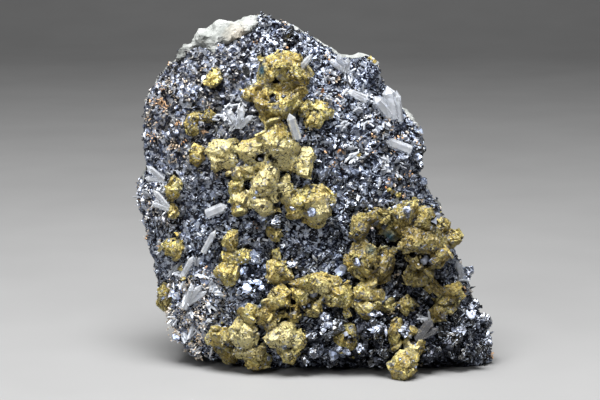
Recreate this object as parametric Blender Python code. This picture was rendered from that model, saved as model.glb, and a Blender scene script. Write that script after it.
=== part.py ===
"""A chalcopyrite specimen: brassy chalcopyrite and clear quartz on a crust of black sphalerite, on rock.

The crystals' front faces -Y, +Z is up, and the specimen stands on its broken foot at z = 0. Places and
sizes below are in millimetres. Depth is given as "forward": how far a point stands in front of the rock's
middle plane, y = 0.
"""

import math
import random

import bmesh
import bpy
from mathutils import Euler, Matrix, Vector
from mathutils.geometry import delaunay_2d_cdt

MM = 0.001

# The outline of the rock seen from the front, as (x, z), clockwise from the summit.
OUTLINE = (
    (-16, 105), (-9, 102.5), (-3, 99.5), (3, 96), (7, 92.5), (14, 92.5), (18, 90.5), (20.5, 84), (24, 79),
    (29, 73.5), (31.5, 69), (31.5, 63), (30.5, 58), (34, 52), (37.5, 46), (40.5, 37), (44, 29.5), (47, 21),
    (50.5, 12), (53, 4), (53, -4), (38, -5), (22, -5), (6, -5), (-10, -5), (-23, -4), (-28, 1.5), (-38, 2.5),
    (-42, 8), (-46, 18), (-48.5, 29), (-50.5, 39), (-53.5, 51), (-50.5, 60.5), (-51.5, 71), (-51, 79),
    (-46.5, 87), (-40, 94), (-31, 98.5), (-23.5, 103),
)  # fmt: skip

# The lie of the crystalled face, as (x, z, forward).
FACE = (
    (-18, 100, 4), (-38, 86, 6), (-44, 68, 8), (-46, 48, 8), (-42, 26, 8), (-36, 8, 7), (-10, 84, 12),
    (14, 84, 7), (26, 64, 8), (-26, 60, 12), (-10, 60, 15), (8, 66, 11), (10, 46, 13), (-24, 36, 12),
    (-8, 34, 15), (-20, 14, 16), (-14, -3, 8), (4, 22, 17), (4, 10, 17), (6, -3, 6), (18, 34, 14),
    (24, 31, 3), (34, 45, 12), (33, 27, 11), (25, 8, 19), (38, 18, 13), (46, 5, 8), (44, 28, 6),
)  # fmt: skip
FACE_REACH = 9.0  # how far each of those points holds sway

# The broken faces of the rock's back, as (x, z, forward, slope across, slope up). Each holds out to the
# next.
BACK = (
    (-34, 84, -13, 0.22, 0.1), (-8, 90, -15, -0.05, 0.16), (14, 78, -15, -0.28, 0.06),
    (-40, 56, -16, 0.34, -0.05), (-14, 62, -21, 0.06, 0.12), (14, 52, -18, -0.12, 0.02),
    (-34, 26, -20, 0.26, 0.04), (-8, 30, -23, -0.08, 0.08), (18, 26, -25, -0.04, 0.1),
    (40, 18, -20, -0.3, 0.05), (-20, 6, -23, 0.1, -0.05), (8, 4, -24, -0.04, -0.04),
)  # fmt: skip

RIM_FORWARD = 2.5  # the crust's edge
RIM_ROUNDING = 8.0  # the width over which the face rolls back to that edge
CRUST_THICKNESS = 7.0
SEAM_RIM = -3.0  # where crust meets rock at the edge
GAP = 0.3  # between one piece and the next
ROCK_RIM_FOOT = -17.0
ROCK_RIM_TOP = -9.0
SUMMIT = 105.0

FACE_PITCH = 9.4  # between neighbouring corners of the crust's face
SEAM_PITCH = 15.0
BACK_PITCH = 9.0
FACE_RELIEF = 1.1
BACK_RELIEF = 0.9

# White rock that the crust leaves bare on the upper left shoulder: (x, z, width, height, forward of its
# centre).
BARE_KNOBS = (
    (-38, 94, 8, 6, -1), (-32, 96.5, 11, 9, 0), (-25.5, 100, 12, 9, 0), (-20, 102.5, 9, 6, 0),
)  # fmt: skip
KNOB_DEPTH = 9.0

# Chalcopyrite crystals, by piece: how far each stands proud of the crust, then its outline from the front
# as (x, z).
CHALCOPYRITE = {
    "crown": (
        (6.5, (-17, 88.5), (-16, 93.5), (-10, 96), (-4.5, 94.5), (-2, 88.5), (-3.5, 84.5), (-16, 84.5)),
        (6, (-18, 81.5), (-15.5, 85), (-4.5, 84.5), (-5, 80.5), (-8, 77.5), (-12, 75.5), (-15.5, 76.5)),
        (3.5, (-22, 84.5), (-20, 85), (-17.5, 83.5), (-19, 81.5), (-21, 82)),
    ),
    "crown_side": (
        (3, (-5, 79), (-4, 80.5), (-2, 80), (-2.5, 77.5), (-4, 77)),
        (4, (-3.5, 75.5), (-1.5, 78.5), (1, 78), (2, 76), (1, 74), (-3, 74)),
        (3.5, (-1.5, 80.5), (2.5, 80.5), (5, 78.5), (4.5, 76.5), (2, 76), (-0.5, 78.5)),
    ),
    "shoulder": (
        (2, (-38.5, 74.5), (-37, 76.5), (-35, 73), (-35.5, 71.5), (-38, 71.5)),
        (1.5, (-38, 77), (-35.5, 77.5), (-33, 77), (-34, 75.5), (-37, 76)),
        (2, (-33.5, 76.5), (-31.5, 78.5), (-29.5, 77), (-30, 74.5), (-32, 75.5)),
    ),
    "shoulder_bead": (
        (2.5, (-32, 88), (-30.5, 90.5), (-28.5, 89.5), (-28, 87), (-30, 85), (-31.5, 86)),
    ),
    "arc_left": (
        (2.5, (-37, 66.5), (-35.5, 68.5), (-33, 67.5), (-33, 64.5), (-35, 62), (-37, 63.5)),
    ),
    "arc": (
        (4, (-32.5, 67), (-30, 70), (-24, 70), (-23.5, 66.5), (-26.5, 65), (-31, 64.5)),
        (3.5, (-31, 65.5), (-28, 65.5), (-28, 62.5), (-29, 61), (-30.5, 63)),
        (3, (-26.5, 66), (-23.5, 65.5), (-23.5, 62.5), (-26, 63)),
    ),
    "arc_foot": (
        (3, (-25, 61), (-23, 62.5), (-21, 61), (-21.5, 58), (-24, 58.5)),
        (2.5, (-25.5, 57.5), (-23.5, 58.5), (-21, 58.5), (-21.5, 55), (-25, 55)),
        (3.5, (-25, 53.5), (-23, 55.5), (-20.5, 54.5), (-20, 51), (-22, 48.5), (-24, 48.5)),
    ),
    "centre_top": (
        (7, (-16, 70), (-14.5, 74), (-12, 76), (-10, 74.5), (-5, 68), (-7.5, 64), (-11.5, 63.5)),
        (4.5, (-23, 67.5), (-20.5, 70), (-16, 71.5), (-13.5, 68), (-15, 65), (-20, 63.5), (-22, 65)),
        (3, (-22, 62.5), (-18, 63.5), (-17.5, 60.5), (-21, 59.5)),
        (4.5, (-6.5, 64), (-4, 67), (-1, 67), (-1.5, 62), (-3, 59.5), (-5.5, 60.5)),
    ),
    "centre": (
        (7, (-18.5, 58.5), (-14, 63.5), (-11.5, 61.5), (-11, 57), (-14, 54.5), (-19, 54)),
        (6.5, (-19.5, 54), (-16, 57), (-13.5, 54.5), (-11, 50), (-15.5, 48.5), (-19, 51.5)),
        (4, (-11.5, 58.5), (-9, 60), (-7, 57), (-7, 52.5), (-9.5, 52), (-11, 55)),
    ),
    "shield": (
        (6, (-5.5, 54.5), (-3, 57), (1.5, 57), (5.5, 54.5), (5.5, 52), (2, 46.5), (-1, 44.5), (-3.5, 46.5)),
        (5, (-9.5, 54.5), (-6, 56), (-3, 53.5), (-4, 48.5), (-7, 48), (-9, 50.5)),
    ),
    "pillar": (
        (3, (-27, 40.5), (-25.5, 43.5), (-23, 43.5), (-23.5, 39), (-25, 37.5), (-26.5, 38.5)),
    ),
    "pillar_foot": (
        (2.5, (-27, 36.5), (-23.5, 37.5), (-23, 34), (-25, 31.5), (-27, 33.5)),
        (4.5, (-30, 31.5), (-28, 33.5), (-24, 33), (-23.5, 29.5), (-26, 28.5), (-29, 29.5)),
        (2, (-23, 37), (-19, 37.5), (-20, 34.5), (-22.5, 33)),
    ),
    "bead_centre": (
        (2, (-14, 44), (-12, 45), (-10.5, 43), (-11, 40.5), (-13, 41)),
    ),
    "step": (
        (4, (-14.5, 30), (-13, 34.5), (-10, 34.5), (-8, 33), (-7, 30), (-9, 28.5), (-14, 28.5)),
        (2.5, (-13, 37.5), (-11, 38.5), (-10.5, 35), (-12.5, 34.5)),
    ),
    "bead_left": (
        (3.5, (-45.5, 38.5), (-44, 40), (-41, 39.5), (-39.5, 37.5), (-41.5, 35), (-44.5, 35.5)),
    ),
    "bead_upper_left": (
        (3, (-44, 55), (-42, 58.5), (-40, 56), (-41, 53), (-42.5, 51.5), (-44, 53)),
    ),
    "bead_lower_left": (
        (2.5, (-44, 49.5), (-42.5, 51), (-41, 49), (-41.5, 46.5), (-43.5, 47)),
    ),
    "left_edge": (
        (2.5, (-47.5, 23.5), (-45.5, 25.5), (-44, 24), (-43.5, 20), (-45, 17.5), (-47, 18)),
    ),
    "foot_left": (
        (4, (-32.5, 11.5), (-30.5, 14), (-25.5, 13.5), (-24.5, 11), (-25.5, 8.5), (-31, 8.5)),
        (3.5, (-31, 6.5), (-29, 8), (-24, 7.5), (-23, 4), (-24.5, 2), (-28, 3.5)),
    ),
    "foot_star": (
        (6, (-25, 14.5), (-23, 17), (-19, 16), (-17.5, 12), (-19, 9), (-22.5, 8), (-24.5, 10.5)),
        (5, (-24.5, 7.5), (-21, 9), (-16, 9), (-16, 6.5), (-19, 5), (-23, 5.5)),
        (4, (-21, 4), (-18, 6), (-14, 5), (-14, 2), (-18.5, 1), (-20.5, 2)),
    ),
    "foot_dome": (
        (5.5, (-14.5, 23.5), (-12.5, 27), (-10, 27.5), (-8, 25.5), (-8, 21.5), (-11, 19.5), (-14, 20.5)),
        (4.5, (-17.5, 19), (-15.5, 22), (-12, 21.5), (-12.5, 17), (-16, 16.5)),
        (4.5, (-22, 19.5), (-20, 22), (-17.5, 21.5), (-17.5, 17.5), (-19, 16), (-21.5, 17.5)),
        (3.5, (-8, 21.5), (-5.5, 22), (-5, 19), (-5.5, 17), (-7.5, 17.5)),
    ),
    "foot_broad": (
        (6.5, (-15.5, 12), (-12.5, 15.5), (-9.5, 17), (-6.5, 16.5), (-5.5, 13), (-7.5, 9.5), (-13, 9.5)),
        (5, (-6.5, 12.5), (-5, 14.5), (-3, 12.5), (-3.5, 9.5), (-6, 8), (-7.5, 9.5)),
        (6, (-11, 8.5), (-6.5, 9.5), (-5, 7), (-7, 4), (-9.5, 4.5)),
        (4, (-14.5, 17), (-11.5, 18), (-11, 15), (-14.5, 13)),
    ),
    "wedge": (
        (5.5, (-8, 28.5), (-5, 29.5), (0, 31.5), (5, 30.5), (7.5, 28.5), (4, 25.5), (-3, 26)),
        (5, (-7.5, 27), (-3, 28), (-2, 24), (-3.5, 20.5), (-5.5, 23)),
        (4, (-3, 20.5), (0, 23), (2, 25), (1.5, 21.5), (-1.5, 19)),
    ),
    "wedge_side": (
        (5.5, (2.5, 25.5), (5, 28), (7.5, 27), (8, 24.5), (7, 22), (3.5, 22)),
        (4.5, (7.5, 27.5), (9, 29), (10, 26.5), (10, 22), (9, 19.5), (7.5, 22)),
    ),
    "cone": (
        (7, (10.5, 25.5), (13, 28.5), (16, 28.5), (19, 24.5), (18.5, 22.5), (14, 23.5), (11, 23)),
        (6, (11, 23), (18.5, 23), (17, 20), (15, 18), (12.5, 19.5)),
    ),
    "bridge": (
        (5, (9.5, 42), (11, 47), (13.5, 49), (15.5, 47.5), (15, 43), (12.5, 40.5)),
        (4, (13.5, 48), (17.5, 49.5), (22, 49), (22.5, 46.5), (15.5, 46)),
        (4, (19, 44.5), (21, 47), (23.5, 44), (24, 41), (21.5, 40)),
    ),
    "block": (
        (8, (9, 35), (11, 38.5), (13.5, 40.5), (17.5, 38.5), (19.5, 35), (17.5, 31), (13, 29.5), (10, 31.5)),
        (7, (17.5, 35), (20.5, 38.5), (23, 37.5), (22.5, 33), (20.5, 29), (17.5, 27.5), (15, 29.5)),
    ),
    "overhang": (
        (7, (22, 48.5), (25, 52), (29, 52), (30, 49.5), (28, 45), (24, 44)),
        (9, (26.5, 45), (30, 50), (33.5, 50), (35, 47), (34.5, 43), (29, 42)),
        (11, (23.5, 39), (26.5, 42.5), (32.5, 43.5), (35.5, 41.5), (34.5, 38.5), (28, 37.5)),
        (8, (35, 43), (37, 46.5), (39.5, 45), (39.5, 41.5), (37.5, 39.5), (35.5, 39.5)),
        (9, (37, 40), (39.5, 43), (42, 42), (43, 39.5), (40.5, 37.5), (37.5, 37.5)),
        (12, (31, 35), (33.5, 38.5), (38.5, 38.5), (39.5, 36), (36, 34.5), (32.5, 32)),
        (10, (26.5, 36), (29, 38), (32, 35), (31, 32.5), (28.5, 33)),
    ),
    "underhang": (
        (7, (26, 31), (28, 32.5), (32.5, 31.5), (34.5, 28.5), (31, 27), (26.5, 27.5)),
        (5, (32, 26), (34.5, 27.5), (35.5, 26), (33.5, 24.5)),
    ),
    "right_foot": (
        (4, (34.5, 22.5), (38, 25.5), (42, 27), (44, 23), (41.5, 20), (37, 19)),
        (3.5, (33.5, 19), (36.5, 21.5), (40, 20), (38, 16), (35, 15.5)),
    ),
    "small_right": (
        (3, (25, 22), (27, 23.5), (29, 21.5), (29, 19), (25.5, 19.5)),
        (2.5, (19.5, 20.5), (21.5, 21.5), (23, 19.5), (20.5, 19)),
    ),
    "strip": (
        (2.5, (21.5, 13), (22.5, 16.5), (24.5, 17.5), (25, 14), (23.5, 9), (22, 10)),
    ),
    "toe": (
        (6, (22, 5), (24.5, 8.5), (28, 8), (29.5, 4.5), (26.5, -0.5), (24, -1), (22.5, 1)),
        (3, (26, 10.5), (29, 14), (31.5, 11), (32, 7.5), (29, 6), (26.5, 7.5)),
    ),
    "low_square": (
        (4, (5.5, 12), (8, 16), (11, 15.5), (12.5, 12), (11.5, 8.5), (8, 7.5), (6, 9)),
    ),
}  # fmt: skip
ROOT = 2.5  # how deep in the crust a chalcopyrite crystal begins

# Quartz prisms, by piece: (x, z of the foot, length, thickness, turn from upright, lean forward, proud).
QUARTZ = {
    "edge": (
        (24.6, 74.6, 9.4, 2.2, -6, 0, 2.5), (22.9, 75.6, 10, 4, -12, 5, 3),
        (21.6, 76.4, 8, 3.4, -38, 15, 3),
    ),
    "pair": ((14.6, 81.2, 6.4, 1.8, -62, 10, 3), (14.2, 82.3, 5.4, 1.7, -68, 10, 3)),
    "blade": ((-5.6, 71.6, 8, 2.6, -17, 12, 7.5),),
    "needle": ((-6.3, 89.2, 8.4, 1.8, 40, 12, 2.5),),
    "fan_top": (
        (8.6, 89.6, 6.6, 2, -55, 25, 2.5), (8.4, 89.8, 6, 2, -25, 25, 2.5), (8.8, 89.4, 5, 1.9, 5, 30, 2.5),
    ),
    "long_right": ((27.8, 66.3, 8.2, 3, -68, 8, 4),),
    "left": ((-32.2, 48, 6.8, 3, 65, 10, 3),),
    "left_high": ((-45.4, 57.8, 6.8, 1.9, -45, 20, 2.5), (-45.6, 57.6, 5.4, 1.8, -80, 20, 2.5)),
    "left_low": ((-43.5, 49.4, 7.6, 1.8, -38, 12, 2.5), (-43.7, 49.2, 5.4, 1.7, -68, 20, 2.5)),
    "fan_low": (
        (-39.8, 19.6, 9.6, 2, 55, 12, 3.5), (-39.6, 19.4, 10, 2.2, 38, 14, 3.5),
        (-39.2, 19.2, 8.6, 2, 20, 15, 3.5),
    ),
    "diagonal_low": ((-39.8, 28.7, 8, 1.8, 28, 10, 3),),
    "diagonal": ((-33.3, 36.6, 8.2, 1.8, 28, 10, 3),),
    "shoulder": (
        (-22.8, 74, 8, 2.1, 12, 25, 3), (-23, 74.2, 7, 2, -28, 25, 3), (-22.6, 74, 6, 1.9, 48, 20, 3),
    ),
    "spike": ((44.6, 25.2, 8, 2.2, -20, 8, 1.5),),
    "low_right": ((30, 11.2, 8, 3, 32, 14, 3.5), (30.2, 11.4, 7, 2.2, 58, 12, 3.5)),
}  # fmt: skip
QUARTZ_TIP = 0.22  # the pyramid's share of a prism's length

# The crust's largest crystals: (x, z, width, height, proud, turn).
SPHALERITE = (
    (12, 89.5, 8, 7, 2.5, 0), (16, 88, 6, 6, 2, 30), (-1.5, 71, 7, 6, 2.5, 0), (3.8, 69, 6, 6, 2, 20),
    (7.4, 45.4, 6.6, 10.5, 3, -32), (-5.4, 40.2, 5, 7, 2.5, 20), (23.6, 63.6, 9, 4, 2.5, -20),
    (-33.6, 74.2, 5, 4, 2, 0), (28.6, 57, 6, 5, 2, 0), (14, 55, 6, 6, 2, 15), (18.4, 73, 6, 5, 2, 0),
    (-2, 13.4, 6, 6, 3, 0), (2.6, 17, 7, 5, 3.5, 0), (3.4, 5.6, 7, 6, 3.5, 10), (13, 8.6, 6, 7, 3, 0),
    (15.6, 14.8, 9, 5, 4.5, 5), (19, 6, 6, 6, 4, 25), (-1, 7.4, 5, 5, 3, 0), (33, 6.4, 6, 7, 3.5, 0),
    (39.6, 8.4, 8, 7, 4, 20), (45.4, 6, 7, 7, 3, 0), (43.4, 15.6, 7, 6, 3, 15), (35.6, 24, 5, 5, 3, 0),
    (46.4, 12.4, 6, 6, 2, 40), (-34.6, 27.6, 6, 6, 2, 0), (-29, 23, 6, 6, 2, 25), (-31.6, 17.6, 6, 6, 2.5, 0),
    (-41.4, 71.6, 6, 6, 2, 0), (-29, 81, 6, 5, 2, 0), (11, 60, 6, 5, 2, 0),
)  # fmt: skip

FRONT_RISE = 0.4  # how high a chalcopyrite crystal's front rises above its widest section, against its span
FRONT_INSET = (0.35, 0.6)  # how near to its outline its foremost corners lie
ROOT_INSET = 0.5
CORNER_CUT = 0.4  # how much of a sphenoid's edge each truncated corner takes
FULLNESS = 1.07  # crystals against their listed sizes, since cut corners leave them short of these
HEART = 0.5  # the size, against its crystal, of the part that it shares with its neighbours


def smooth(share):
    """Eases 0..1 in and out."""
    share = min(max(share, 0.0), 1.0)
    return share * share * (3 - 2 * share)


def mix(a, b, share):
    return a + (b - a) * share


def edge_distance(x, z):
    """How far a point of the front view lies from the outline."""
    point = Vector((x, z))
    nearest = math.inf
    for start, end in zip(OUTLINE, OUTLINE[1:] + OUTLINE[:1]):
        a, b = Vector(start), Vector(end)
        along = min(max((point - a).dot(b - a) / (b - a).length_squared, 0.0), 1.0)
        nearest = min(nearest, (point - a.lerp(b, along)).length)
    return nearest


def within_outline(x, z):
    inside = False
    for (x0, z0), (x1, z1) in zip(OUTLINE, OUTLINE[1:] + OUTLINE[:1]):
        if (z0 > z) != (z1 > z) and x < x0 + (z - z0) * (x1 - x0) / (z1 - z0):
            inside = not inside
    return inside


def lie_of_face(x, z):
    """The face's forward position, blended from the points of FACE."""
    total = weights = 0.0
    for px, pz, forward in FACE:
        weight = math.exp(-((x - px) ** 2 + (z - pz) ** 2) / (2 * FACE_REACH**2)) + 1e-9
        total += weight * forward
        weights += weight
    return total / weights


def face_forward(x, z):
    return mix(RIM_FORWARD, lie_of_face(x, z), smooth(edge_distance(x, z) / RIM_ROUNDING))


def seam_forward(x, z):
    inner = lie_of_face(x, z) - CRUST_THICKNESS
    return mix(SEAM_RIM, inner, smooth(edge_distance(x, z) / (1.6 * RIM_ROUNDING)))


def back_forward(x, z):
    rim = mix(ROCK_RIM_FOOT, ROCK_RIM_TOP, min(max(z / SUMMIT, 0.0), 1.0))
    bx, bz, forward, across, up = min(BACK, key=lambda b: math.hypot(x - b[0], z - b[1]))
    broken = forward + across * (x - bx) + up * (z - bz)
    return mix(rim, broken, smooth(edge_distance(x, z) / RIM_ROUNDING))


def scattered(pitch, rng):
    """Points inside the outline on a loose triangular grid, clear of the edge."""
    found = []
    row_height = pitch * math.sqrt(3) / 2
    rows = range(int(-5 / row_height), int(SUMMIT / row_height) + 1)
    columns = range(int(-54 / pitch), int(54 / pitch) + 1)
    for row in rows:
        for column in columns:
            x = (column + (row % 2) / 2 + rng.uniform(-0.28, 0.28)) * pitch
            z = (row + rng.uniform(-0.28, 0.28)) * row_height
            if within_outline(x, z) and edge_distance(x, z) > 0.55 * pitch:
                found.append((x, z))
    return found


def triangulated(points):
    """The outline and these points as triangles that fill it."""
    flat = [Vector(p) for p in OUTLINE + tuple(points)]
    ring = list(range(len(OUTLINE)))
    corners, _, faces, *_ = delaunay_2d_cdt(flat, [], [ring], 1, 1e-6)
    return [(c.x, c.y) for c in corners], [tuple(f) for f in faces]


def new_object(name, bm, material):
    """The bmesh, in millimetres, as an object in metres."""
    bmesh.ops.transform(bm, matrix=Matrix.Scale(MM, 4), verts=bm.verts)
    mesh = bpy.data.meshes.new(name)
    bm.to_mesh(mesh)
    bm.free()
    obj = bpy.data.objects.new(name, mesh)
    bpy.context.scene.collection.objects.link(obj)
    if material:
        mesh.materials.append(material)
    return obj


def sheets_to_solid(name, front, back, material):
    """Joins two triangulated sheets, (points, faces, forward of each point), round their shared outline."""
    bm = bmesh.new()
    rims = []
    for points, faces, forwards in (front, back):
        verts = [bm.verts.new((x, -forward, z)) for (x, z), forward in zip(points, forwards)]
        for face in faces:
            bm.faces.new([verts[i] for i in face])
        rims.append(verts[: len(OUTLINE)])
    for i in range(len(OUTLINE)):
        j = (i + 1) % len(OUTLINE)
        bm.faces.new((rims[0][i], rims[0][j], rims[1][j], rims[1][i]))
    bmesh.ops.triangulate(bm, faces=bm.faces)
    bmesh.ops.recalc_face_normals(bm, faces=bm.faces)
    return new_object(name, bm, material)


def hull(name, points, material):
    bm = bmesh.new()
    for point in points:
        bm.verts.new(point)
    bmesh.ops.convex_hull(bm, input=bm.verts)
    loose = [v for v in bm.verts if not v.link_faces]
    bmesh.ops.delete(bm, geom=loose, context="VERTS")
    bmesh.ops.dissolve_limit(bm, angle_limit=math.radians(0.5), verts=bm.verts, edges=bm.edges)
    bmesh.ops.recalc_face_normals(bm, faces=bm.faces)
    return new_object(name, bm, material)


def fitted(points, size):
    """The points scaled so that they span a box of this size about the origin."""
    lows = [min(p[i] for p in points) for i in range(3)]
    highs = [max(p[i] for p in points) for i in range(3)]
    return [
        Vector(((p[i] - (lows[i] + highs[i]) / 2) * size[i] / (highs[i] - lows[i]) for i in range(3)))
        for p in points
    ]


def sphenoid(seed, size, turn):
    """The corners of a sphenoid, the four-faced form that sphalerite grows in, with blunt corners."""
    rng = random.Random(seed)
    tips = [Vector(t) for t in ((1, 1, 1), (1, -1, -1), (-1, 1, -1), (-1, -1, 1))]
    corners = []
    for tip in tips:
        cut = CORNER_CUT * rng.uniform(0.7, 1.25)
        corners += [tip.lerp(other, cut) for other in tips if other is not tip]
    spin = Euler([rng.uniform(0, math.tau) for _ in range(3)]).to_matrix()
    corners = fitted([spin @ c for c in corners], size)
    lie = Matrix.Rotation(math.radians(turn), 3, "Y")
    return [lie @ c for c in corners]


def prism(length, thickness, turn, lean):
    """The corners of a six-sided prism with a pyramid at its upper end."""
    radius = thickness / 2
    shoulder = (1 - QUARTZ_TIP) * length
    corners = [Vector((0, 0, length))]
    for k in range(6):
        angle = k * math.tau / 6
        corners += [Vector((radius * math.cos(angle), radius * math.sin(angle), z)) for z in (0, shoulder)]
    lie = Matrix.Rotation(math.radians(turn), 3, "Y") @ Matrix.Rotation(math.radians(lean), 3, "X")
    return [lie @ c for c in corners]


def grown(points):
    """The same crystal, larger all over by the gap: the socket that it sits in."""
    middle = sum(points, Vector()) / len(points)
    reach = min((p - middle).length for p in points)
    factor = 1 + 2.2 * GAP / reach
    return [middle + (p - middle) * factor for p in points]


def shared_heart(crystals):
    """Corners of the mass between crystals that have grown together, from the heart of each."""
    corners = []
    for crystal in crystals:
        middle = sum(crystal, Vector()) / len(crystal)
        corners += [middle.lerp(crystal[i], HEART) for i in range(0, len(crystal), 4)]
    return corners


def add_modifier_and_apply(obj, other, operation):
    modifier = obj.modifiers.new("join", "BOOLEAN")
    modifier.solver = "EXACT"
    modifier.operation = operation
    modifier.object = other
    graph = bpy.context.evaluated_depsgraph_get()
    result = bpy.data.meshes.new_from_object(obj.evaluated_get(graph))
    obj.modifiers.clear()
    obj.data = result


def discard(obj):
    bpy.data.objects.remove(obj)


def united(pieces):
    """Joins overlapping solids into the first of them."""
    whole = pieces[0]
    for piece in pieces[1:]:
        add_modifier_and_apply(whole, piece, "UNION")
        discard(piece)
    return whole


def box_of(obj):
    corners = [v.co for v in obj.data.vertices]
    return [(min(c[i] for c in corners), max(c[i] for c in corners)) for i in range(3)]


def boxes_meet(a, b):
    return all(low <= other_high and other_low <= high for (low, high), (other_low, other_high) in zip(a, b))


def drop_chips(obj):
    """Keeps only the largest of the bodies that a cut has left."""
    bm = bmesh.new()
    bm.from_mesh(obj.data)
    left = set(bm.verts)
    bodies = []
    while left:
        body, edge = set(), [left.pop()]
        while edge:
            vert = edge.pop()
            body.add(vert)
            near = {e.other_vert(vert) for e in vert.link_edges} & left
            left -= near
            edge += near
        bodies.append(body)
    bodies.sort(key=len)
    chips = [v for body in bodies[:-1] for v in body]
    bmesh.ops.delete(bm, geom=chips, context="VERTS")
    bm.to_mesh(obj.data)
    bm.free()


def carve(obj, sockets):
    """Cuts from a solid each socket that reaches it."""
    extent = box_of(obj)
    for socket in sockets:
        if boxes_meet(extent, box_of(socket)):
            add_modifier_and_apply(obj, socket, "DIFFERENCE")
    drop_chips(obj)


def below(height):
    """Everything under this height, for cutting with."""
    corners = [Vector((x, y, z)) for x in (-200, 200) for y in (-200, 200) for z in (-200, height)]
    return hull("below", corners, None)


def placed_chalcopyrite(name, place):
    """The corners of a crystal as broad as its outline, with blunter faces in front of it and behind."""
    proud, *outline = place
    rng = random.Random(name)
    x, z = (sum(corner[i] for corner in outline) / len(outline) for i in (0, 1))
    span = min(max(c[i] for c in outline) - min(c[i] for c in outline) for i in (0, 1))
    face = face_forward(x, z)
    top = face + proud
    widest = top - min(FRONT_RISE * span, 0.8 * proud)
    root = max(face - ROOT, widest - 0.9 * span)
    corners = [(*corner, widest + rng.uniform(-0.06, 0.06) * span) for corner in outline]
    for k in range(3):
        near_x, near_z = outline[k * len(outline) // 3]
        inset = rng.uniform(*FRONT_INSET)
        forward = top - rng.uniform(0, 0.3) * (top - widest)
        corners.append((mix(x, near_x, inset), mix(z, near_z, inset), forward))
    for near_x, near_z in outline[:: max(len(outline) // 3, 1)][:3]:
        corners.append((mix(x, near_x, ROOT_INSET), mix(z, near_z, ROOT_INSET), root))
    return [Vector((cx, -forward, cz)) for cx, cz, forward in corners]


def placed_sphenoid(name, place):
    x, z, width, height, proud, turn = place
    width, height = width * FULLNESS, height * FULLNESS
    depth = (width + height) / 2
    forward = face_forward(x, z) + proud - depth / 2
    return [p + Vector((x, -forward, z)) for p in sphenoid(name, (width, depth, height), turn)]


def placed_prism(_, place):
    x, z, length, thickness, turn, lean, proud = place
    forward = face_forward(x, z) + proud - thickness / 2
    return [p + Vector((x, -forward, z)) for p in prism(length, thickness, turn, lean)]


def intergrown(name, places, corners_at, finish):
    """The crystals at these places grown together into one solid, and the sockets that they sit in."""
    parts = [corners_at(f"{name}_{i}", place) for i, place in enumerate(places)]
    if corners_at is placed_chalcopyrite and len(parts) > 1:
        parts.append(shared_heart(parts))
    solids = [hull(name, corners, finish) for corners in parts]
    sockets = [hull(name + "_socket", grown(corners), None) for corners in parts]
    return united(solids), sockets


def material(name, colour, roughness, metallic, alpha=1.0):
    made = bpy.data.materials.new(name)
    made.use_nodes = True
    shader = made.node_tree.nodes["Principled BSDF"]
    shader.inputs["Base Color"].default_value = (*colour, 1)
    shader.inputs["Roughness"].default_value = roughness
    shader.inputs["Metallic"].default_value = metallic
    shader.inputs["Alpha"].default_value = alpha
    return made


def rock_and_crust(rock_material, crust_material):
    """The rock behind and the crust in front, meeting along one seam with a gap between them."""
    rng = random.Random("sheets")
    count = len(OUTLINE)
    face_points, face_faces = triangulated(scattered(FACE_PITCH, rng))
    face = [face_forward(x, z) + rng.uniform(-1, 1) * FACE_RELIEF for x, z in face_points]
    seam_points, seam_faces = triangulated(scattered(SEAM_PITCH, rng))
    seam = [seam_forward(x, z) for x, z in seam_points]
    back_points, back_faces = triangulated(scattered(BACK_PITCH, rng))
    back = [back_forward(x, z) + rng.uniform(-1, 1) * BACK_RELIEF for x, z in back_points]
    back[:count] = [back_forward(*OUTLINE[i]) + rng.uniform(-1, 1) * BACK_RELIEF for i in range(count)]
    crust_seam = (seam_points, seam_faces, [f + GAP / 2 for f in seam])
    rock_seam = (seam_points, seam_faces, [f - GAP / 2 for f in seam])
    crust = sheets_to_solid("sphalerite_crust", (face_points, face_faces, face), crust_seam, crust_material)
    rock = sheets_to_solid("rock", rock_seam, (back_points, back_faces, back), rock_material)
    return rock, crust


def bare_knobs(rock, finish):
    """Joins the lumps of bare rock to the rock, and returns the sockets that the crust leaves for them."""
    knobs, sockets = [], []
    for i, (x, z, width, height, forward) in enumerate(BARE_KNOBS):
        shape = sphenoid(f"knob_{i}", (width, KNOB_DEPTH, height), 0)
        corners = [p + Vector((x, -forward, z)) for p in shape]
        knobs.append(hull("knob", corners, finish))
        sockets.append(hull("knob_socket", grown(corners), None))
    united([rock] + knobs)
    return sockets


def cut_foot(plate, minerals):
    """Cuts the flat foot that the plate stands on at z = 0. The crystals in front of it end a gap higher."""
    for height, pieces in ((0, plate), (GAP, minerals)):
        cutter = below(height)
        for piece in pieces:
            if box_of(piece)[2][0] < height * MM:
                add_modifier_and_apply(piece, cutter, "DIFFERENCE")
        discard(cutter)


def centre_on_foot(pieces):
    """Moves everything so that the origin is under the middle of the whole box."""
    boxes = [box_of(piece) for piece in pieces]
    middle = [(min(b[i][0] for b in boxes) + max(b[i][1] for b in boxes)) / 2 for i in (0, 1)]
    low = min(b[2][0] for b in boxes)
    for piece in pieces:
        piece.data.transform(Matrix.Translation((-middle[0], -middle[1], -low)))


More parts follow.
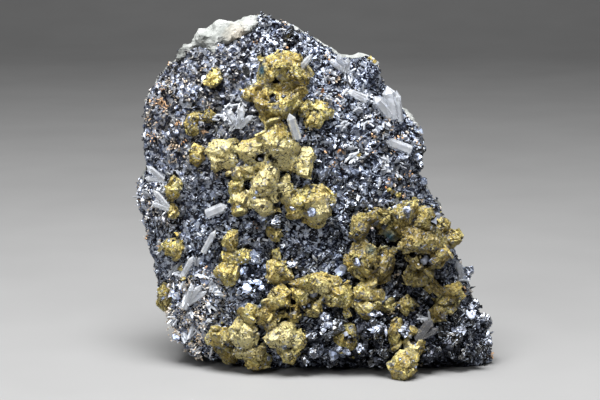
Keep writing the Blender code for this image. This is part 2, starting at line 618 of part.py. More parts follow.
def build():
    for obj in list(bpy.data.objects):
        bpy.data.objects.remove(obj)
    rock_finish = material("rock", (0.62, 0.61, 0.58), 0.85, 0.0)
    sphalerite = material("sphalerite", (0.05, 0.055, 0.07), 0.3, 0.4)
    brassy = material("chalcopyrite", (0.45, 0.33, 0.10), 0.42, 0.9)
    clear = material("quartz", (0.78, 0.80, 0.82), 0.15, 0.0, 0.8)

    rock, crust = rock_and_crust(rock_finish, sphalerite)
    knob_sockets = bare_knobs(rock, rock_finish)
    growths = [placed_sphenoid(f"growth_{i}", place) for i, place in enumerate(SPHALERITE)]
    united([crust] + [hull("growth", corners, sphalerite) for corners in growths])
    carve(crust, knob_sockets)

    sockets, minerals = [], []
    for prefix, pieces, corners_at, finish in (
        ("quartz_", QUARTZ, placed_prism, clear),
        ("chalcopyrite_", CHALCOPYRITE, placed_chalcopyrite, brassy),
    ):
        for name, places in pieces.items():
            piece, own_sockets = intergrown(prefix + name, places, corners_at, finish)
            carve(piece, sockets)
            sockets += own_sockets
            minerals.append(piece)
    carve(crust, sockets)
    carve(rock, sockets)
    for socket in knob_sockets + sockets:
        discard(socket)

    cut_foot([rock, crust], minerals)
    centre_on_foot([rock, crust] + minerals)


build()
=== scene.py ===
"""A chalcopyrite specimen: brassy chalcopyrite and clear quartz on a crust of black sphalerite, on pale rock.

Lengths are in metres, and those given in millimetres are multiplied by MM. The crystalled face looks to -Y,
and a region of it is the X and Z of its middle and its radius, in millimetres.
"""

import math

import bpy
import numpy as np
from mathutils import Euler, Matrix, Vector
from mathutils.bvhtree import BVHTree

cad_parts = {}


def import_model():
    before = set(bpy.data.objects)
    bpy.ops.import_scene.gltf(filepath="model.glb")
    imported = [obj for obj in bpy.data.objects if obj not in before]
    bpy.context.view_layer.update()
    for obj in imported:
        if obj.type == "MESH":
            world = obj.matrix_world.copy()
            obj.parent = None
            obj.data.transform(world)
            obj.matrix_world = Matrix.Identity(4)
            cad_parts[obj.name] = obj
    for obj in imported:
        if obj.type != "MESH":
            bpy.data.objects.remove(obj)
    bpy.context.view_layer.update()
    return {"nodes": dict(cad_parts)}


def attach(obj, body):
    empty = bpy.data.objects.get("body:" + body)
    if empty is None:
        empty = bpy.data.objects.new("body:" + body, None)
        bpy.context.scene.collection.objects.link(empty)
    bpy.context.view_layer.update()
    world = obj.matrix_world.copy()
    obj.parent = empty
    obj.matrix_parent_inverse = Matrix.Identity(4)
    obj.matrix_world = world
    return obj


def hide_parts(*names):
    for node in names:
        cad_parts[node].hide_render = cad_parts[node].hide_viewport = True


MM = 0.001

SWELL = 0.55  # mm that rough chalcopyrite stands out from its plain crystals
BRASS_VOXEL = 0.22  # mm between the points of the chalcopyrite's fine mesh
CRUST_VOXEL = 0.62
ROCK_VOXEL = 0.9
MERGE = 0.01  # mm within which the corners of a CAD copy become one
FOOT_ROUGHNESS = 0.9  # mm of the rock's roughness that its flat foot is cut clear of
SMOOTHING_ROUNDS = 14  # for the smooth surface that hollows and edges are told by
PRESSES_TO_A_HOLE = 4
PLATES_TO_A_FACE = 12

CAMERA_DISTANCE = 0.6
CAMERA_RISE = math.radians(10)
CAMERA_LENS = 120
CAMERA_AIM = Vector((-4.55, -2, 50.1)) * MM

# Name, place, size in metres and power in watts.
LIGHTS = (
    ("top_light", (-0.075, -0.25, 0.76), (0.54, 0.36), 21),
    ("front_light", (-0.35, -0.5, 0.4), (0.25, 0.3), 1.4),
    ("right_light", (0.5, -0.3, 0.3), (0.2, 0.4), 0.8),
)

UPPER_LEFT = (-36, -12, 82)  # the middle of the satin crystals at the upper left, in mm
LOWER_LEFT = (-37, 16, 18)  # the cream and white region

# Sphalerite faces that catch the light from above: (x, z, width, height) in mm.
BRIGHT_FACES = (
    (2.4, 22.5, 3.4, 3.8), (2.6, 17.2, 2.6, 4.8), (0.2, 8.6, 2.4, 3.2), (7.8, 9, 5.8, 3.6),
    (20.1, 23, 6.4, 4), (16.4, 20, 5.4, 2), (18.9, 15.4, 5.8, 2), (25.1, 14, 4.2, 2.6),
    (45.3, 27.6, 2.8, 3.4), (46, 17.8, 3.6, 3.4), (43.2, 13.8, 4.6, 4), (45.4, 9.4, 3, 2.8),
    (52.3, 8.6, 2, 3.6), (13.4, 9.2, 2.6, 2), (12.6, 23.4, 2, 2.4), (32.6, 26.4, 2.2, 1.8),
    (-25.4, 94, 1.6, 1.6),
)

# Crystals bedded in the chalcopyrite: (x, z, size) in mm.
BEDDED_SPHALERITE = (
    (-12.3, 82.5, 3), (-9.4, 83, 1.8), (-6.3, 51.2, 2), (-0.9, 49.8, 3.4), (4.4, 51, 2.4),
    (26.6, 49.4, 3.4), (24.4, 48, 2.4), (17, 42.4, 3.4), (21.4, 41.4, 3), (-1.8, 21.6, 2),
    (-26.2, 9.9, 2.2), (-9.2, 9.8, 2), (-22.6, 8.8, 2.4), (28.4, 47, 1.6), (31.4, 43, 1.4),
    (12.2, 35, 2.2), (34, 35.4, 1.8), (-10, 57.6, 2), (-8.4, 55.6, 1.6), (-22.4, 51, 1.6),
    (38, 34, 2), (-20.6, 21.4, 1.6), (-13.2, 7, 3), (-14.6, 5, 2.4),
)
BEDDED_QUARTZ = (
    (-16.2, 84.6, 1.3), (-17.1, 66.7, 1.4), (-16.4, 65, 1.2), (-12.6, 64.6, 1.6), (-13.8, 64.2, 1.2),
    (-19.8, 62.8, 1.8), (-17.6, 68.2, 1), (-11.4, 53.8, 2), (-10.6, 51.8, 1.4), (-5.8, 56.8, 1.4),
    (34.8, 47, 2.6), (36.6, 45.6, 2), (33.6, 44.8, 1.6), (39.3, 43, 1.6), (31.8, 35.4, 2.8),
    (29.8, 34.4, 1.6), (18.3, 46.8, 2.8), (20.4, 44.6, 2), (16.6, 44.2, 2), (19.8, 36.4, 2.8),
    (11.6, 34.6, 1.6), (-0.6, 25.4, 2.6), (2.7, 28, 2.2), (-15.6, 15, 2.8), (-14.4, 16, 1.8),
    (-8.4, 19.4, 1.4), (-13.2, 25.4, 1.3), (14.4, 21.6, 1.8), (-26, 31, 1.6), (-28, 30.6, 1.4),
    (-15, 3.4, 1.6), (-17.4, 3, 1.4), (-28.6, 6.8, 1.4), (38.6, 33.6, 1.6), (13.2, 26.2, 1.8),
    (9, 13.4, 1.8), (9.8, 11.2, 1.6), (28.4, 12.4, 1.8), (30, 9.8, 1.6), (-23, 40.6, 1.2),
    (-8.2, 61.4, 1.6), (-5.2, 59.6, 1.2), (-27.4, 65.4, 1.2), (-25, 64.6, 1.6),
)

# Small slivers of chalcopyrite away from the clusters: (x, z, size) in mm.
BRASS_FLECKS = (
    (15.9, 93, 2.2), (17.4, 92.2, 1.2), (-39.6, 30.6, 2.4), (-39.2, 28.6, 1.6), (-40.8, 40.9, 2),
    (-28.6, 90.2, 1.4), (22.8, 54.4, 2.6), (24.4, 53.6, 1.8), (24.6, 58.3, 1.6), (21.6, 55.2, 1.4),
    (20.4, 27.4, 1.6), (12.8, 65.4, 1.2), (39.2, 24, 1.6),
)

# This quartz node lies in the lower-right corner; its dark grey finish is painted shade.
QUARTZ_IN_PAINTED_SHADE = "quartz_low_right"

# Holes in the chalcopyrite, by piece: (x, z, radius, depth) in mm.
HOLES = {
    "crown": ((-12.2, 88, 1, 1.6), (-11.2, 87.8, 0.8, 1.2), (-12, 82.6, 1.2, 0.8)),
    "centre_top": ((-16.4, 66, 1.6, 1.6), (-12.6, 65, 1.3, 1.4)),
    "centre": ((-10.6, 54.2, 1.2, 2), (-9.2, 53, 1, 1.6), (-12, 51.6, 1.1, 1.6)),
    "shield": ((-0.9, 50, 1.2, 0.7),),
    "block": ((16, 33.2, 1.2, 2.2), (12.2, 35, 1.2, 1.2), (19, 37, 1.2, 0.9)),
    "wedge": ((-0.6, 25.2, 1.7, 2.6), (-1.8, 21.8, 1.2, 1.4), (3, 27.8, 1.2, 1)),
    "overhang": ((31.6, 35.6, 1.8, 2), (34.8, 46.4, 1.8, 1.6), (28.4, 37, 1.1, 1.6)),
    "bridge": ((17, 43, 1.6, 1.6),),
    "foot_dome": ((-9.8, 20.6, 1.3, 1.8), (-7.6, 20.8, 1.1, 1.6)),
    "foot_left": ((-26.4, 10, 1.2, 1.2),),
    "low_square": ((9.6, 12, 1.3, 1.6),),
    "toe": ((29.4, 11.4, 1.4, 1.6),),
}

CRUMB_COLOURS = np.array(
    [[0.42, 0.34, 0.25], [0.38, 0.35, 0.31], [0.40, 0.18, 0.07], [0.58, 0.36, 0.20], [0.58, 0.57, 0.55]]
)


def deselect_all():
    for obj in bpy.context.selected_objects:
        obj.select_set(False)


def make_active(obj):
    deselect_all()
    obj.select_set(True)
    bpy.context.view_layer.objects.active = obj


def apply_modifiers(obj):
    make_active(obj)
    for modifier in list(obj.modifiers):
        bpy.ops.object.modifier_apply(modifier=modifier.name)


def mode(name):
    bpy.ops.object.mode_set(mode=name)


def edit_all():
    mode("EDIT")
    bpy.ops.mesh.select_all(action="SELECT")


def select_only(items, wanted):
    """Goes into edit mode with only these corners, edges or faces of the active object selected."""
    mode("EDIT")
    bpy.ops.mesh.select_all(action="DESELECT")
    mode("OBJECT")
    items.foreach_set("select", wanted)
    mode("EDIT")


def add_object(name, data):
    obj = bpy.data.objects.new(name, data)
    bpy.context.scene.collection.objects.link(obj)
    return obj


def copy_of(node, name):
    copy = node.copy()
    copy.data = node.data.copy()
    copy.name = name
    copy.parent = None
    bpy.context.scene.collection.objects.link(copy)
    return copy


def join(obj, other):
    """Joins another object's mesh to this one, which keeps its name."""
    name = obj.name
    make_active(obj)
    other.select_set(True)
    bpy.ops.object.join()
    obj.name = name


def wear(obj, material):
    obj.data.materials.clear()
    obj.data.materials.append(material)


def read_all(items, key, width=1, kind=float):
    """One value from each of many mesh items, as an array, in rows if a value has many parts."""
    values = np.empty(len(items) * width, dtype=kind)
    items.foreach_get(key, values)
    return values.reshape(-1, width) if width > 1 else values


def finish_piece(obj, slot, *nodes):
    """Fixes a finished piece to the specimen, in place of the nodes that it stands for. The slot, which names
    its finish, is not used.
    """
    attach(obj, "root")
    if nodes:
        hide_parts(*nodes)


# ---------------------------------------------------------------- materials


def rgba(value):
    """A colour or a grey with its fourth part, 1, and a socket as it is."""
    if isinstance(value, bpy.types.NodeSocket):
        return value
    return (*value, 1) if hasattr(value, "__len__") else (value, value, value, 1)


class Shader:
    """A material's nodes, joined up by name."""

    def __init__(self, name, **sockets):
        self.material = bpy.data.materials.new(name)
        self.material.use_nodes = True
        self.tree = self.material.node_tree
        self.surface = self.tree.nodes["Principled BSDF"]
        self.place = self.node("ShaderNodeTexCoord")["Object"]
        self.finish(**sockets)

    def give(self, socket, value):
        """Links a socket to another node's output, or sets it to a plain value."""
        if isinstance(value, bpy.types.NodeSocket):
            self.tree.links.new(value, socket)
        else:
            socket.default_value = value

    def node(self, kind, inputs=(), **settings):
        """The outputs of a new node with these (input, value) pairs and settings."""
        made = self.tree.nodes.new(kind)
        for key, value in settings.items():
            setattr(made, key, value)
        for key, value in inputs:
            self.give(made.inputs[key], value)
        return made.outputs

    def finish(self, **sockets):
        """Gives the surface's sockets, with _ for each space in their names, and returns the material."""
        for socket, value in sockets.items():
            self.give(self.surface.inputs[socket.replace("_", " ")], value)
        return self.material

    def vectors(self, operation, *inputs):
        return self.node("ShaderNodeVectorMath", enumerate(inputs), operation=operation)

    def noise(self, size, detail=3.0, roughness=0.55, distortion=0.0, place=None):
        """Cloudy noise, 0 to 1, with patches of about this size in millimetres."""
        inputs = (
            ("Vector", place or self.place), ("Scale", 1 / (size * MM)), ("Detail", detail),
            ("Roughness", roughness), ("Distortion", distortion),
        )
        return self.node("ShaderNodeTexNoise", inputs)["Fac"]

    def cells(self, size, feature="F1", output="Distance", place=None):
        """A pattern of cells of about this size in millimetres."""
        inputs = (("Vector", place or self.place), ("Scale", 1 / (size * MM)))
        return self.node("ShaderNodeTexVoronoi", inputs, feature=feature)[output]

    def drawn_out(self, turn, stretch):
        """Places that draw a pattern out by these amounts along axes turned by these angles."""
        inputs = (("Vector", self.place), ("Rotation", turn), ("Scale", stretch))
        return self.node("ShaderNodeMapping", inputs, vector_type="TEXTURE")["Vector"]

    def bent(self, size, amount):
        """Places shifted about by clouds of this size, by up to this much, both in millimetres."""
        clouds = self.node("ShaderNodeTexNoise", (("Vector", self.place), ("Scale", 1 / (size * MM))))
        return self.vectors("MULTIPLY_ADD", clouds["Color"], (2 * amount * MM,) * 3, self.place)["Vector"]

    def facets(self, size, place=None):
        """The height, in millimetres, of a mosaic of flat facets that each lean their own way."""
        place = place or self.place
        cell = self.node("ShaderNodeTexVoronoi", (("Vector", place), ("Scale", 1 / (size * MM))))
        away = self.vectors("SUBTRACT", place, cell["Position"])["Vector"]
        lean = self.vectors("MULTIPLY_ADD", cell["Color"], (2 / MM,) * 3, (-1 / MM,) * 3)["Vector"]
        return self.vectors("DOT_PRODUCT", away, lean)["Value"]

    def attribute(self, name, output="Color"):
        return self.node("ShaderNodeAttribute", attribute_name=name)[output]

    def ramp(self, factor, *stops):
        """A colour, or a grey, that follows a factor through (position, value) stops."""
        made = self.tree.nodes.new("ShaderNodeValToRGB")
        band = made.color_ramp.elements
        while len(band) < len(stops):
            band.new(0.5)
        for element, (position, value) in zip(band, stops):
            element.position = position
            element.color = rgba(value)
        self.give(made.inputs["Fac"], factor)
        return made.outputs["Color"]

    def mix(self, factor, first, second, blend="MIX"):
        inputs = ((0, factor), (6, rgba(first)), (7, rgba(second)))
        return self.node("ShaderNodeMix", inputs, data_type="RGBA", blend_type=blend)[2]

    def times(self, first, second, share=1.0):
        return self.mix(share, first, second, "MULTIPLY")

    def near(self, point, radius, softness=0.35, most=1.0):
        """The most within this many millimetres of a point, fading to 0."""
        away = self.vectors("DISTANCE", self.place, Vector(point) * MM)["Value"]
        inputs = (
            ("Value", away), ("From Min", radius * MM), ("From Max", radius * (1 - softness) * MM),
            ("To Max", most),
        )
        return self.node("ShaderNodeMapRange", inputs, clamp=True)["Result"]

    def change_near(self, first, second, zones, softness, most=1.0):
        """A colour that gives way to a second one near some (point, radius) zones."""
        for point, radius in zones:
            first = self.mix(self.near(point, radius, softness, most), first, second)
        return first

    def relief(self, *parts):
        """Roughness too fine to model, as (height, millimetres for a height of one) parts added together."""
        total = 0
        for part in parts:
            inputs = enumerate((*part, total))
            total = self.node("ShaderNodeMath", inputs, operation="MULTIPLY_ADD")["Value"]
        bump = self.node("ShaderNodeBump", (("Distance", MM), ("Strength", 1), ("Height", total)))
        self.finish(Normal=bump["Normal"])


def chalcopyrite_finish():
    """Dull brassy yellow: browner in its hollows as painted shade, brighter on its edges as painted
    highlights, tarnished blue in a few places.
    """
    shader = Shader("chalcopyrite", Metallic=0.6, Roughness=0.42)
    bent = shader.bent(1.5, 0.5)
    streaks = shader.noise(0.9, 4, 0.7, 0.6, shader.drawn_out((0.3, 0.7, 0.2), (2.8, 1, 0.5)))
    fine_streaks = shader.noise(0.45, 3, 0.6, 0.4, shader.drawn_out((0.2, -0.5, 0.3), (2.5, 1, 0.6)))
    brass = shader.ramp(
        shader.noise(1.8, 6, 0.75, 0.5), (0.32, (0.14, 0.10, 0.02)), (0.43, (0.47, 0.375, 0.095)),
        (0.55, (0.64, 0.55, 0.20)), (0.68, (0.68, 0.61, 0.33)),
    )
    hue = shader.ramp(
        shader.noise(4.5, 2), (0.38, (1.03, 0.96, 0.82)), (0.5, (1.06, 1.06, 1.06)),
        (0.62, (0.97, 1.03, 1.2)),
    )
    facets = shader.ramp(shader.cells(0.8, output="Color", place=bent), (0.3, 0.55), (0.6, 1.05))
    brass = shader.times(brass, hue)
    brass = shader.times(brass, shader.ramp(streaks, (0.36, 0.4), (0.48, 1.0), (0.62, 1.15)), 0.8)
    brass = shader.times(brass, shader.ramp(fine_streaks, (0.38, 0.55), (0.48, 0.95), (0.62, 1.1)), 0.9)
    brass = shader.times(brass, facets, 0.75)

    # Browner zones: the chalcopyrite's own brown, and on the right-hand clusters also painted shade.
    brown_and_shaded_zones = (
        ((-12, -18, 23.5), 7), ((-17, -17, 81), 7), ((-8, -18, 86), 4), ((-34, -12, 75), 5),
        ((-17, -18, 19), 5), ((20, -17, 32), 7), ((31, -18, 36), 8), ((27, -18, 45), 5),
        ((17, -16, 42), 5), ((37, -17, 17.5), 4), ((1.5, -19, 22), 3.5), ((-5.5, -18, 19.5), 3),
    )
    brown = shader.ramp(shader.noise(6, 4), (0.45, 0.0), (0.58, 0.8))
    brown = shader.change_near(brown, 0.9, brown_and_shaded_zones, 0.6)
    brass = shader.mix(brown, brass, shader.mix(0.35, (0.20, 0.135, 0.03), brass))
    # Paler zones: partly the chalcopyrite's own paler brass, partly painted light that lifts clusters the
    # lamps leave in shade.
    pale_and_lit_zones = (
        ((-21, -20, 11), 8), ((-10, -22, 12), 7), ((14, -25, 24), 5), ((-9, -21, 66), 6),
        ((2, -20, 50), 6), ((-10, -20, 56), 5), ((1, -20, 27), 5), ((27, -20, 9), 4),
        ((-14, -20, 64), 10), ((-2, -20, 61), 6), ((-27, -18, 66), 8), ((-17, -20, 52), 8),
        ((-2, -20, 69), 6),
    )
    brass = shader.change_near(brass, (0.78, 0.71, 0.40), pale_and_lit_zones, 0.6, 0.55)

    # Painted shade: near-black brown where the mesh lies in a hollow. Painted highlight: pale brass where it
    # stands out on an edge.
    hollow = shader.attribute("hollow", "Fac")
    hollows_in_painted_shade = shader.mix(shader.ramp(hollow, (0.24, 1.0), (0.44, 0.0)), brass, (0.018, 0.013, 0.005))
    bright = shader.mix(shader.ramp(hollow, (0.6, 0.0), (0.95, 0.6)), hollows_in_painted_shade, (0.72, 0.64, 0.34))
    edges = shader.ramp(shader.cells(1.7, "DISTANCE_TO_EDGE", place=bent), (0.02, 1.0), (0.08, 0.0))
    cracks = shader.times(edges, shader.ramp(shader.noise(3.2, 2), (0.53, 0.0), (0.58, 1.0)))
    skin = shader.mix(cracks, bright, (0.03, 0.02, 0.008))
    specks = shader.ramp(shader.noise(0.6, 3, 0.6), (0.38, 0.9), (0.44, 0.0))
    skin = shader.mix(specks, skin, (0.045, 0.034, 0.014))
    skin = shader.mix(glints(shader, 0.6, 0.08), skin, (0.36, 0.38, 0.42))
    smudges = shader.ramp(shader.noise(2.6, 5, 0.65), (0.59, 0.0), (0.64, 0.7))
    skin = shader.mix(smudges, skin, (0.17, 0.18, 0.21))
    # Painted shade: the right-hand clusters and the lower right made darker.
    painted_shade_zones = (((27, -17, 38), 20), ((26, -19, 3), 6), ((14, -17, 42), 9), ((36, -17, 20), 9))
    skin = shader.change_near(skin, shader.times(skin, (0.66, 0.66, 0.70)), painted_shade_zones, 0.5)
    tarnished_zones = (
        ((-15.6, -15, 90.6), 2.6), ((21.4, -17, 41), 3.4), ((16.6, -20, 39.2), 2.6),
        ((-15.8, -19, 22.4), 2.6),
    )
    skin = shader.change_near(skin, (0.03, 0.075, 0.10), tarnished_zones, 0.7)
    shader.relief(
        (shader.facets(0.8, bent), 0.3), (shader.facets(2.2), 0.15), (streaks, 0.4),
        (fine_streaks, 0.15), (shader.noise(0.4, 4, 0.7), 0.08), (cracks, -0.15),
    )
    return shader.finish(
        Base_Color=skin, Roughness=shader.ramp(shader.noise(0.9, 4), (0.35, 0.34), (0.65, 0.6))
    )


def steel_mosaic(shader, size, place):
    """Grains of sphalerite, from black through steel grey to a few pale ones, on the places given."""
    large, small = (shader.cells(width, output="Color", place=place) for width in (size, size / 2))
    return shader.ramp(
        shader.mix(0.2, large, small), (0.32, (0.003, 0.003, 0.006)), (0.46, (0.014, 0.018, 0.036)),
        (0.54, (0.050, 0.064, 0.110)), (0.62, (0.16, 0.19, 0.27)), (0.76, (0.55, 0.59, 0.68)),
    )


def glints(shader, size, share):
    """1 on the short thin streaks where broken crystals shine, where painted glints go. They run one way in
    each grain.
    """
    grain = shader.cells(3.5 * size, output="Color")
    total = 0
    for turn, start in (((0.2, 0.4, 0.1), 0), ((0.1, 1.5, -0.2), 0.42), ((-0.2, 2.5, 0.1), 0.54)):
        streak = shader.noise(size, 2, 0.5, 0, shader.drawn_out(turn, (3, 1, 0.65)))
        streak = shader.ramp(streak, (0.7 - share, 0.0), (0.74 - share, 1.0))
        chosen = shader.ramp(grain, (start, 0.0), (start + 0.01, 1.0)) if start else 1
        total = shader.mix(chosen, total, streak)
    return total


def satin_upper_left(shader, roughness):
    return shader.mix(shader.near(UPPER_LEFT, 34, 0.5), roughness, 0.42)


def sphalerite_finish(name, size, relief, lustre):
    """Black and mirror-bright to steel grey and satin. Each crystal has its own tone, a little broken up,
    with painted highlights in thin streaks.
    """
    shader = Shader(name, Metallic=0.45, IOR=lustre)
    bent = shader.bent(1.5 * size, 0.4 * size)
    tone = shader.attribute("tone")
    mosaic = shader.times(steel_mosaic(shader, size, bent), 5.4)
    body = shader.mix(0.6, tone, shader.times(tone, mosaic))
    # Painted highlights: the colour of the glint streaks, bluish white, darker grey at the upper left and
    # cream at the lower left.
    glint = shader.mix(shader.near(UPPER_LEFT, 32, 0.5), (0.50, 0.56, 0.68), (0.30, 0.29, 0.28))
    glint = shader.mix(shader.near((-38, -10, 15), 22, 0.5), glint, (0.80, 0.77, 0.70))
    roughness = shader.ramp(tone, (0.04, 0.1), (0.12, 0.2), (0.4, 0.4))
    shader.relief((shader.facets(size, bent), relief), (shader.noise(0.35, 3, 0.6), 0.1))
    return shader.finish(
        Base_Color=shader.mix(glints(shader, 0.7, 0.115), body, glint),
        Roughness=satin_upper_left(shader, roughness),
    )


def crust_finish():
    """The crust's own crystals: a mosaic of black, steely and pale grains, with painted highlights and
    painted shade, blacker at the lower right, partly from its black crystals and partly as painted shade.
    """
    shader = Shader("sphalerite_crust", Metallic=0.5, IOR=1.5)
    bent = shader.bent(1.5, 0.5)
    # A little darker all over: the crust's own black sphalerite, and painted shade for the gaps between the
    # crystals grown on it.
    mosaic = shader.mix(0.3, steel_mosaic(shader, 1.1, bent), (0.006, 0.006, 0.009))
    # Painted highlights: bluish-white glint streaks, darker grey at the upper left.
    glint = shader.mix(shader.near(UPPER_LEFT, 32, 0.5), (0.46, 0.52, 0.64), (0.28, 0.27, 0.26))
    mosaic = shader.mix(glints(shader, 0.7, 0.115), mosaic, glint)
    cream = shader.mix(0.7, mosaic, (0.60, 0.56, 0.50))
    pale_grains = shader.ramp(shader.cells(0.8), (0.34, 1.0), (0.42, 0.0))
    for point, radius in (((-38, -10, 16), 18), ((-47, -10, 50), 9)):
        here = shader.mix(shader.near(point, radius, 0.6), 0, pale_grains)
        mosaic = shader.mix(here, mosaic, cream)
    # Blacker zones: at the lower right partly the crust's own black crystals and partly painted shade; under
    # the overhang and between the clusters, painted shade.
    black_and_shaded_zones = (((33, -14, 8), 27), ((12, -18, 10), 16), ((24, -14, 32), 12), ((-12, -16, 30), 12))
    mosaic = shader.change_near(mosaic, shader.times(mosaic, (0.2, 0.2, 0.22)), black_and_shaded_zones, 0.5)
    # Painted shade: black in the recess under the overhang.
    mosaic = shader.change_near(mosaic, 0.006, (((23.5, -14, 31), 6), ((26.5, -14, 36), 5)), 0.4)
    shader.relief(
        (shader.facets(1.1, bent), 0.6), (shader.facets(2.4), 0.3), (shader.noise(0.5, 4, 0.7), 0.08)
    )
    roughness = shader.ramp(mosaic, (0.02, 0.12), (0.3, 0.4))
    return shader.finish(Base_Color=mosaic, Roughness=satin_upper_left(shader, roughness))


def quartz_finish(name, clear, veil):
    """Clear crystal with milky veils."""
    shader = Shader(name, Transmission_Weight=0.7, IOR=1.544, Roughness=0.1)
    veils = shader.ramp(shader.noise(1.8, 4), (0.4, 0.0), (0.65, 1.0))
    shader.relief((shader.noise(0.9, 3), 0.03))
    return shader.finish(Base_Color=shader.mix(veils, clear, veil))


def own_tone_finish(name, size, depth, **sockets):
    """Small crystals that each have their own tone, with relief of this size and depth in millimetres."""
    shader = Shader(name, **sockets)
    shader.relief((shader.noise(size, 3), depth))
    return shader.finish(Base_Color=shader.attribute("tone"))


def rock_finish():
    """Pale grey rock, stained tan along its cracks, with small dark grains."""
    shader = Shader("rock", Roughness=0.85)
    grey = shader.ramp(
        shader.noise(7, 7, 0.66), (0.32, (0.09, 0.095, 0.09)), (0.46, (0.20, 0.21, 0.20)),
        (0.66, (0.38, 0.39, 0.38)),
    )
    stains = shader.ramp(shader.noise(16, 4), (0.57, 0.0), (0.72, 0.45))
    grains = shader.ramp(shader.cells(1.1), (0.1, 0.6), (0.3, 0.0))
    stained = shader.mix(stains, grey, (0.34, 0.27, 0.18))
    shader.relief((shader.noise(1.2, 6, 0.7), 0.4))
    return shader.finish(Base_Color=shader.mix(grains, stained, (0.07, 0.07, 0.075)))


# ---------------------------------------------------------------- the surfaces that crystals grow on


def triangles_of(obj):
    """The mesh's corners, and its triangles as indices, as arrays."""
    mesh = obj.data
    mesh.calc_loop_triangles()
    return read_all(mesh.vertices, "co", 3), read_all(mesh.loop_triangles, "vertices", 3, int)


def all_surfaces(objects):
    """One tree over the surfaces of many objects, for finding what stands in front of what."""
    corners, faces, count = [], [], 0
    for obj in objects:
        own_corners, own_faces = triangles_of(obj)
        corners.append(own_corners)
        faces.append(own_faces + count)
        count += len(own_corners)
    return BVHTree.FromPolygons(np.vstack(corners).tolist(), np.vstack(faces).tolist())


def points_on(obj, spacing, rng):
    """Random points all over an object, with their normals, no two closer than the spacing."""
    corners, faces = triangles_of(obj)
    a, b, c = (corners[faces[:, i]] for i in range(3))
    across = np.cross(b - a, c - a)
    areas = np.linalg.norm(across, axis=1) / 2
    count = int(4.5 * areas.sum() / spacing**2)
    chosen = rng.choice(len(faces), count, p=areas / areas.sum())
    u, v = rng.random(count), rng.random(count)
    folded = u + v > 1
    u[folded], v[folded] = 1 - u[folded], 1 - v[folded]
    points = a[chosen] + u[:, None] * (b - a)[chosen] + v[:, None] * (c - a)[chosen]
    normals = across[chosen] / (2 * areas[chosen])[:, None]
    return kept_places(thinned(points, spacing), points, normals)


def thinned(points, spacing):
    """The indices of points that keep the spacing from all those kept before them."""
    grid, kept = {}, []
    cells = np.floor(points / spacing).astype(int)
    around = [(i, j, k) for i in (-1, 0, 1) for j in (-1, 0, 1) for k in (-1, 0, 1)]
    for index, (cell, point) in enumerate(zip(map(tuple, cells), points)):
        near = (grid.get((cell[0] + i, cell[1] + j, cell[2] + k), ()) for i, j, k in around)
        if all(np.dot(point - other, point - other) >= spacing**2 for group in near for other in group):
            grid.setdefault(cell, []).append(point)
            kept.append(index)
    return kept


def kept_places(keep, *arrays):
    return [array[keep] for array in arrays]


def open_points(points, normals, surfaces, clearance):
    """Which of these points have free space of this many millimetres in front of them."""
    starts = points + normals * 0.05 * MM
    return np.array(
        [surfaces.ray_cast(Vector(p), Vector(n), clearance * MM)[0] is None for p, n in zip(starts, normals)],
        dtype=bool,
    )


def open_places(ground, spacing, surfaces, clearance, rng):
    """Random points on the ground with free space in front of them, and their normals."""
    points, normals = points_on(ground, spacing * MM, rng)
    return kept_places(open_points(points, normals, surfaces, clearance), points, normals)


def clear_of_floor(centres, reach):
    """Which crystals stay above the floor."""
    return centres[:, 2] > 0.75 * reach


def held_by(ground, centres, reach):
    """Which crystals lie within this reach of the ground's mesh, so that none hangs in the air."""
    mesh = all_surfaces([ground])
    return np.array([mesh.find_nearest(Vector(centre), reach)[3] is not None for centre in centres])


def front_of(surfaces, x, z):
    """The foremost point of the specimen, in metres, at this place of its front, in millimetres."""
    hit = surfaces.ray_cast(Vector((x * MM, -0.1, z * MM)), Vector((0, 1, 0)))[0]
    return hit if hit is not None else Vector((x * MM, -0.005, z * MM))


def on_front(surfaces, places):
    """(x, z, size) places of the front as (point, size) places."""
    return [(front_of(surfaces, x, z), size) for x, z, size in places]


# ---------------------------------------------------------------- crystals, modelled once and copied


def modelled_shape():
    """Leaves edit mode, and takes the shape away as (corners, faces), one unit across and centred.

    The faces are sorted, because those drawn out of others come in a different order each time.
    """
    bpy.ops.mesh.select_all(action="SELECT")
    bpy.ops.mesh.normals_make_consistent(inside=False)
    mode("OBJECT")
    obj = bpy.context.object
    make_active(obj)
    bpy.ops.object.transform_apply(location=True, rotation=True, scale=True)
    corners = np.array([v.co for v in obj.data.vertices])
    low, high = corners.min(axis=0), corners.max(axis=0)
    corners = (corners - (low + high) / 2) / (high - low).max()
    faces = sorted(tuple(p.vertices) for p in obj.data.polygons)
    bpy.data.objects.remove(obj)
    return corners, faces


def sphenoid_shape(cut):
    """A four-faced crystal with blunt corners."""
    deselect_all()
    bpy.ops.mesh.primitive_cone_add(vertices=3, radius1=1, depth=1.41)
    edit_all()
    bpy.ops.mesh.bevel(offset=cut, offset_type="PERCENT", segments=1, affect="VERTICES")
    return modelled_shape()


def dodecahedron_shape():
    """A crystal of twelve diamond faces, drawn from a cube by raising each side to a peak."""
    deselect_all()
    bpy.ops.mesh.primitive_cube_add(size=1)
    edit_all()
    bpy.ops.mesh.poke(offset=0.5)
    return modelled_shape()


def stepped_shape():
    """A block whose growth stopped in steps on its top and front."""
    deselect_all()
    bpy.ops.mesh.primitive_cube_add(size=1, scale=(1, 0.8, 0.7))
    sides = bpy.context.object.data.polygons
    select_only(sides, [side.normal.z > 0.9 or side.normal.y < -0.9 for side in sides])
    for inset, rise in ((0.1, 0.1), (0.12, 0.08)):
        bpy.ops.mesh.inset(thickness=inset, use_individual=True)
        bpy.ops.mesh.extrude_region_shrink_fatten(TRANSFORM_OT_shrink_fatten={"value": rise})
    return modelled_shape()


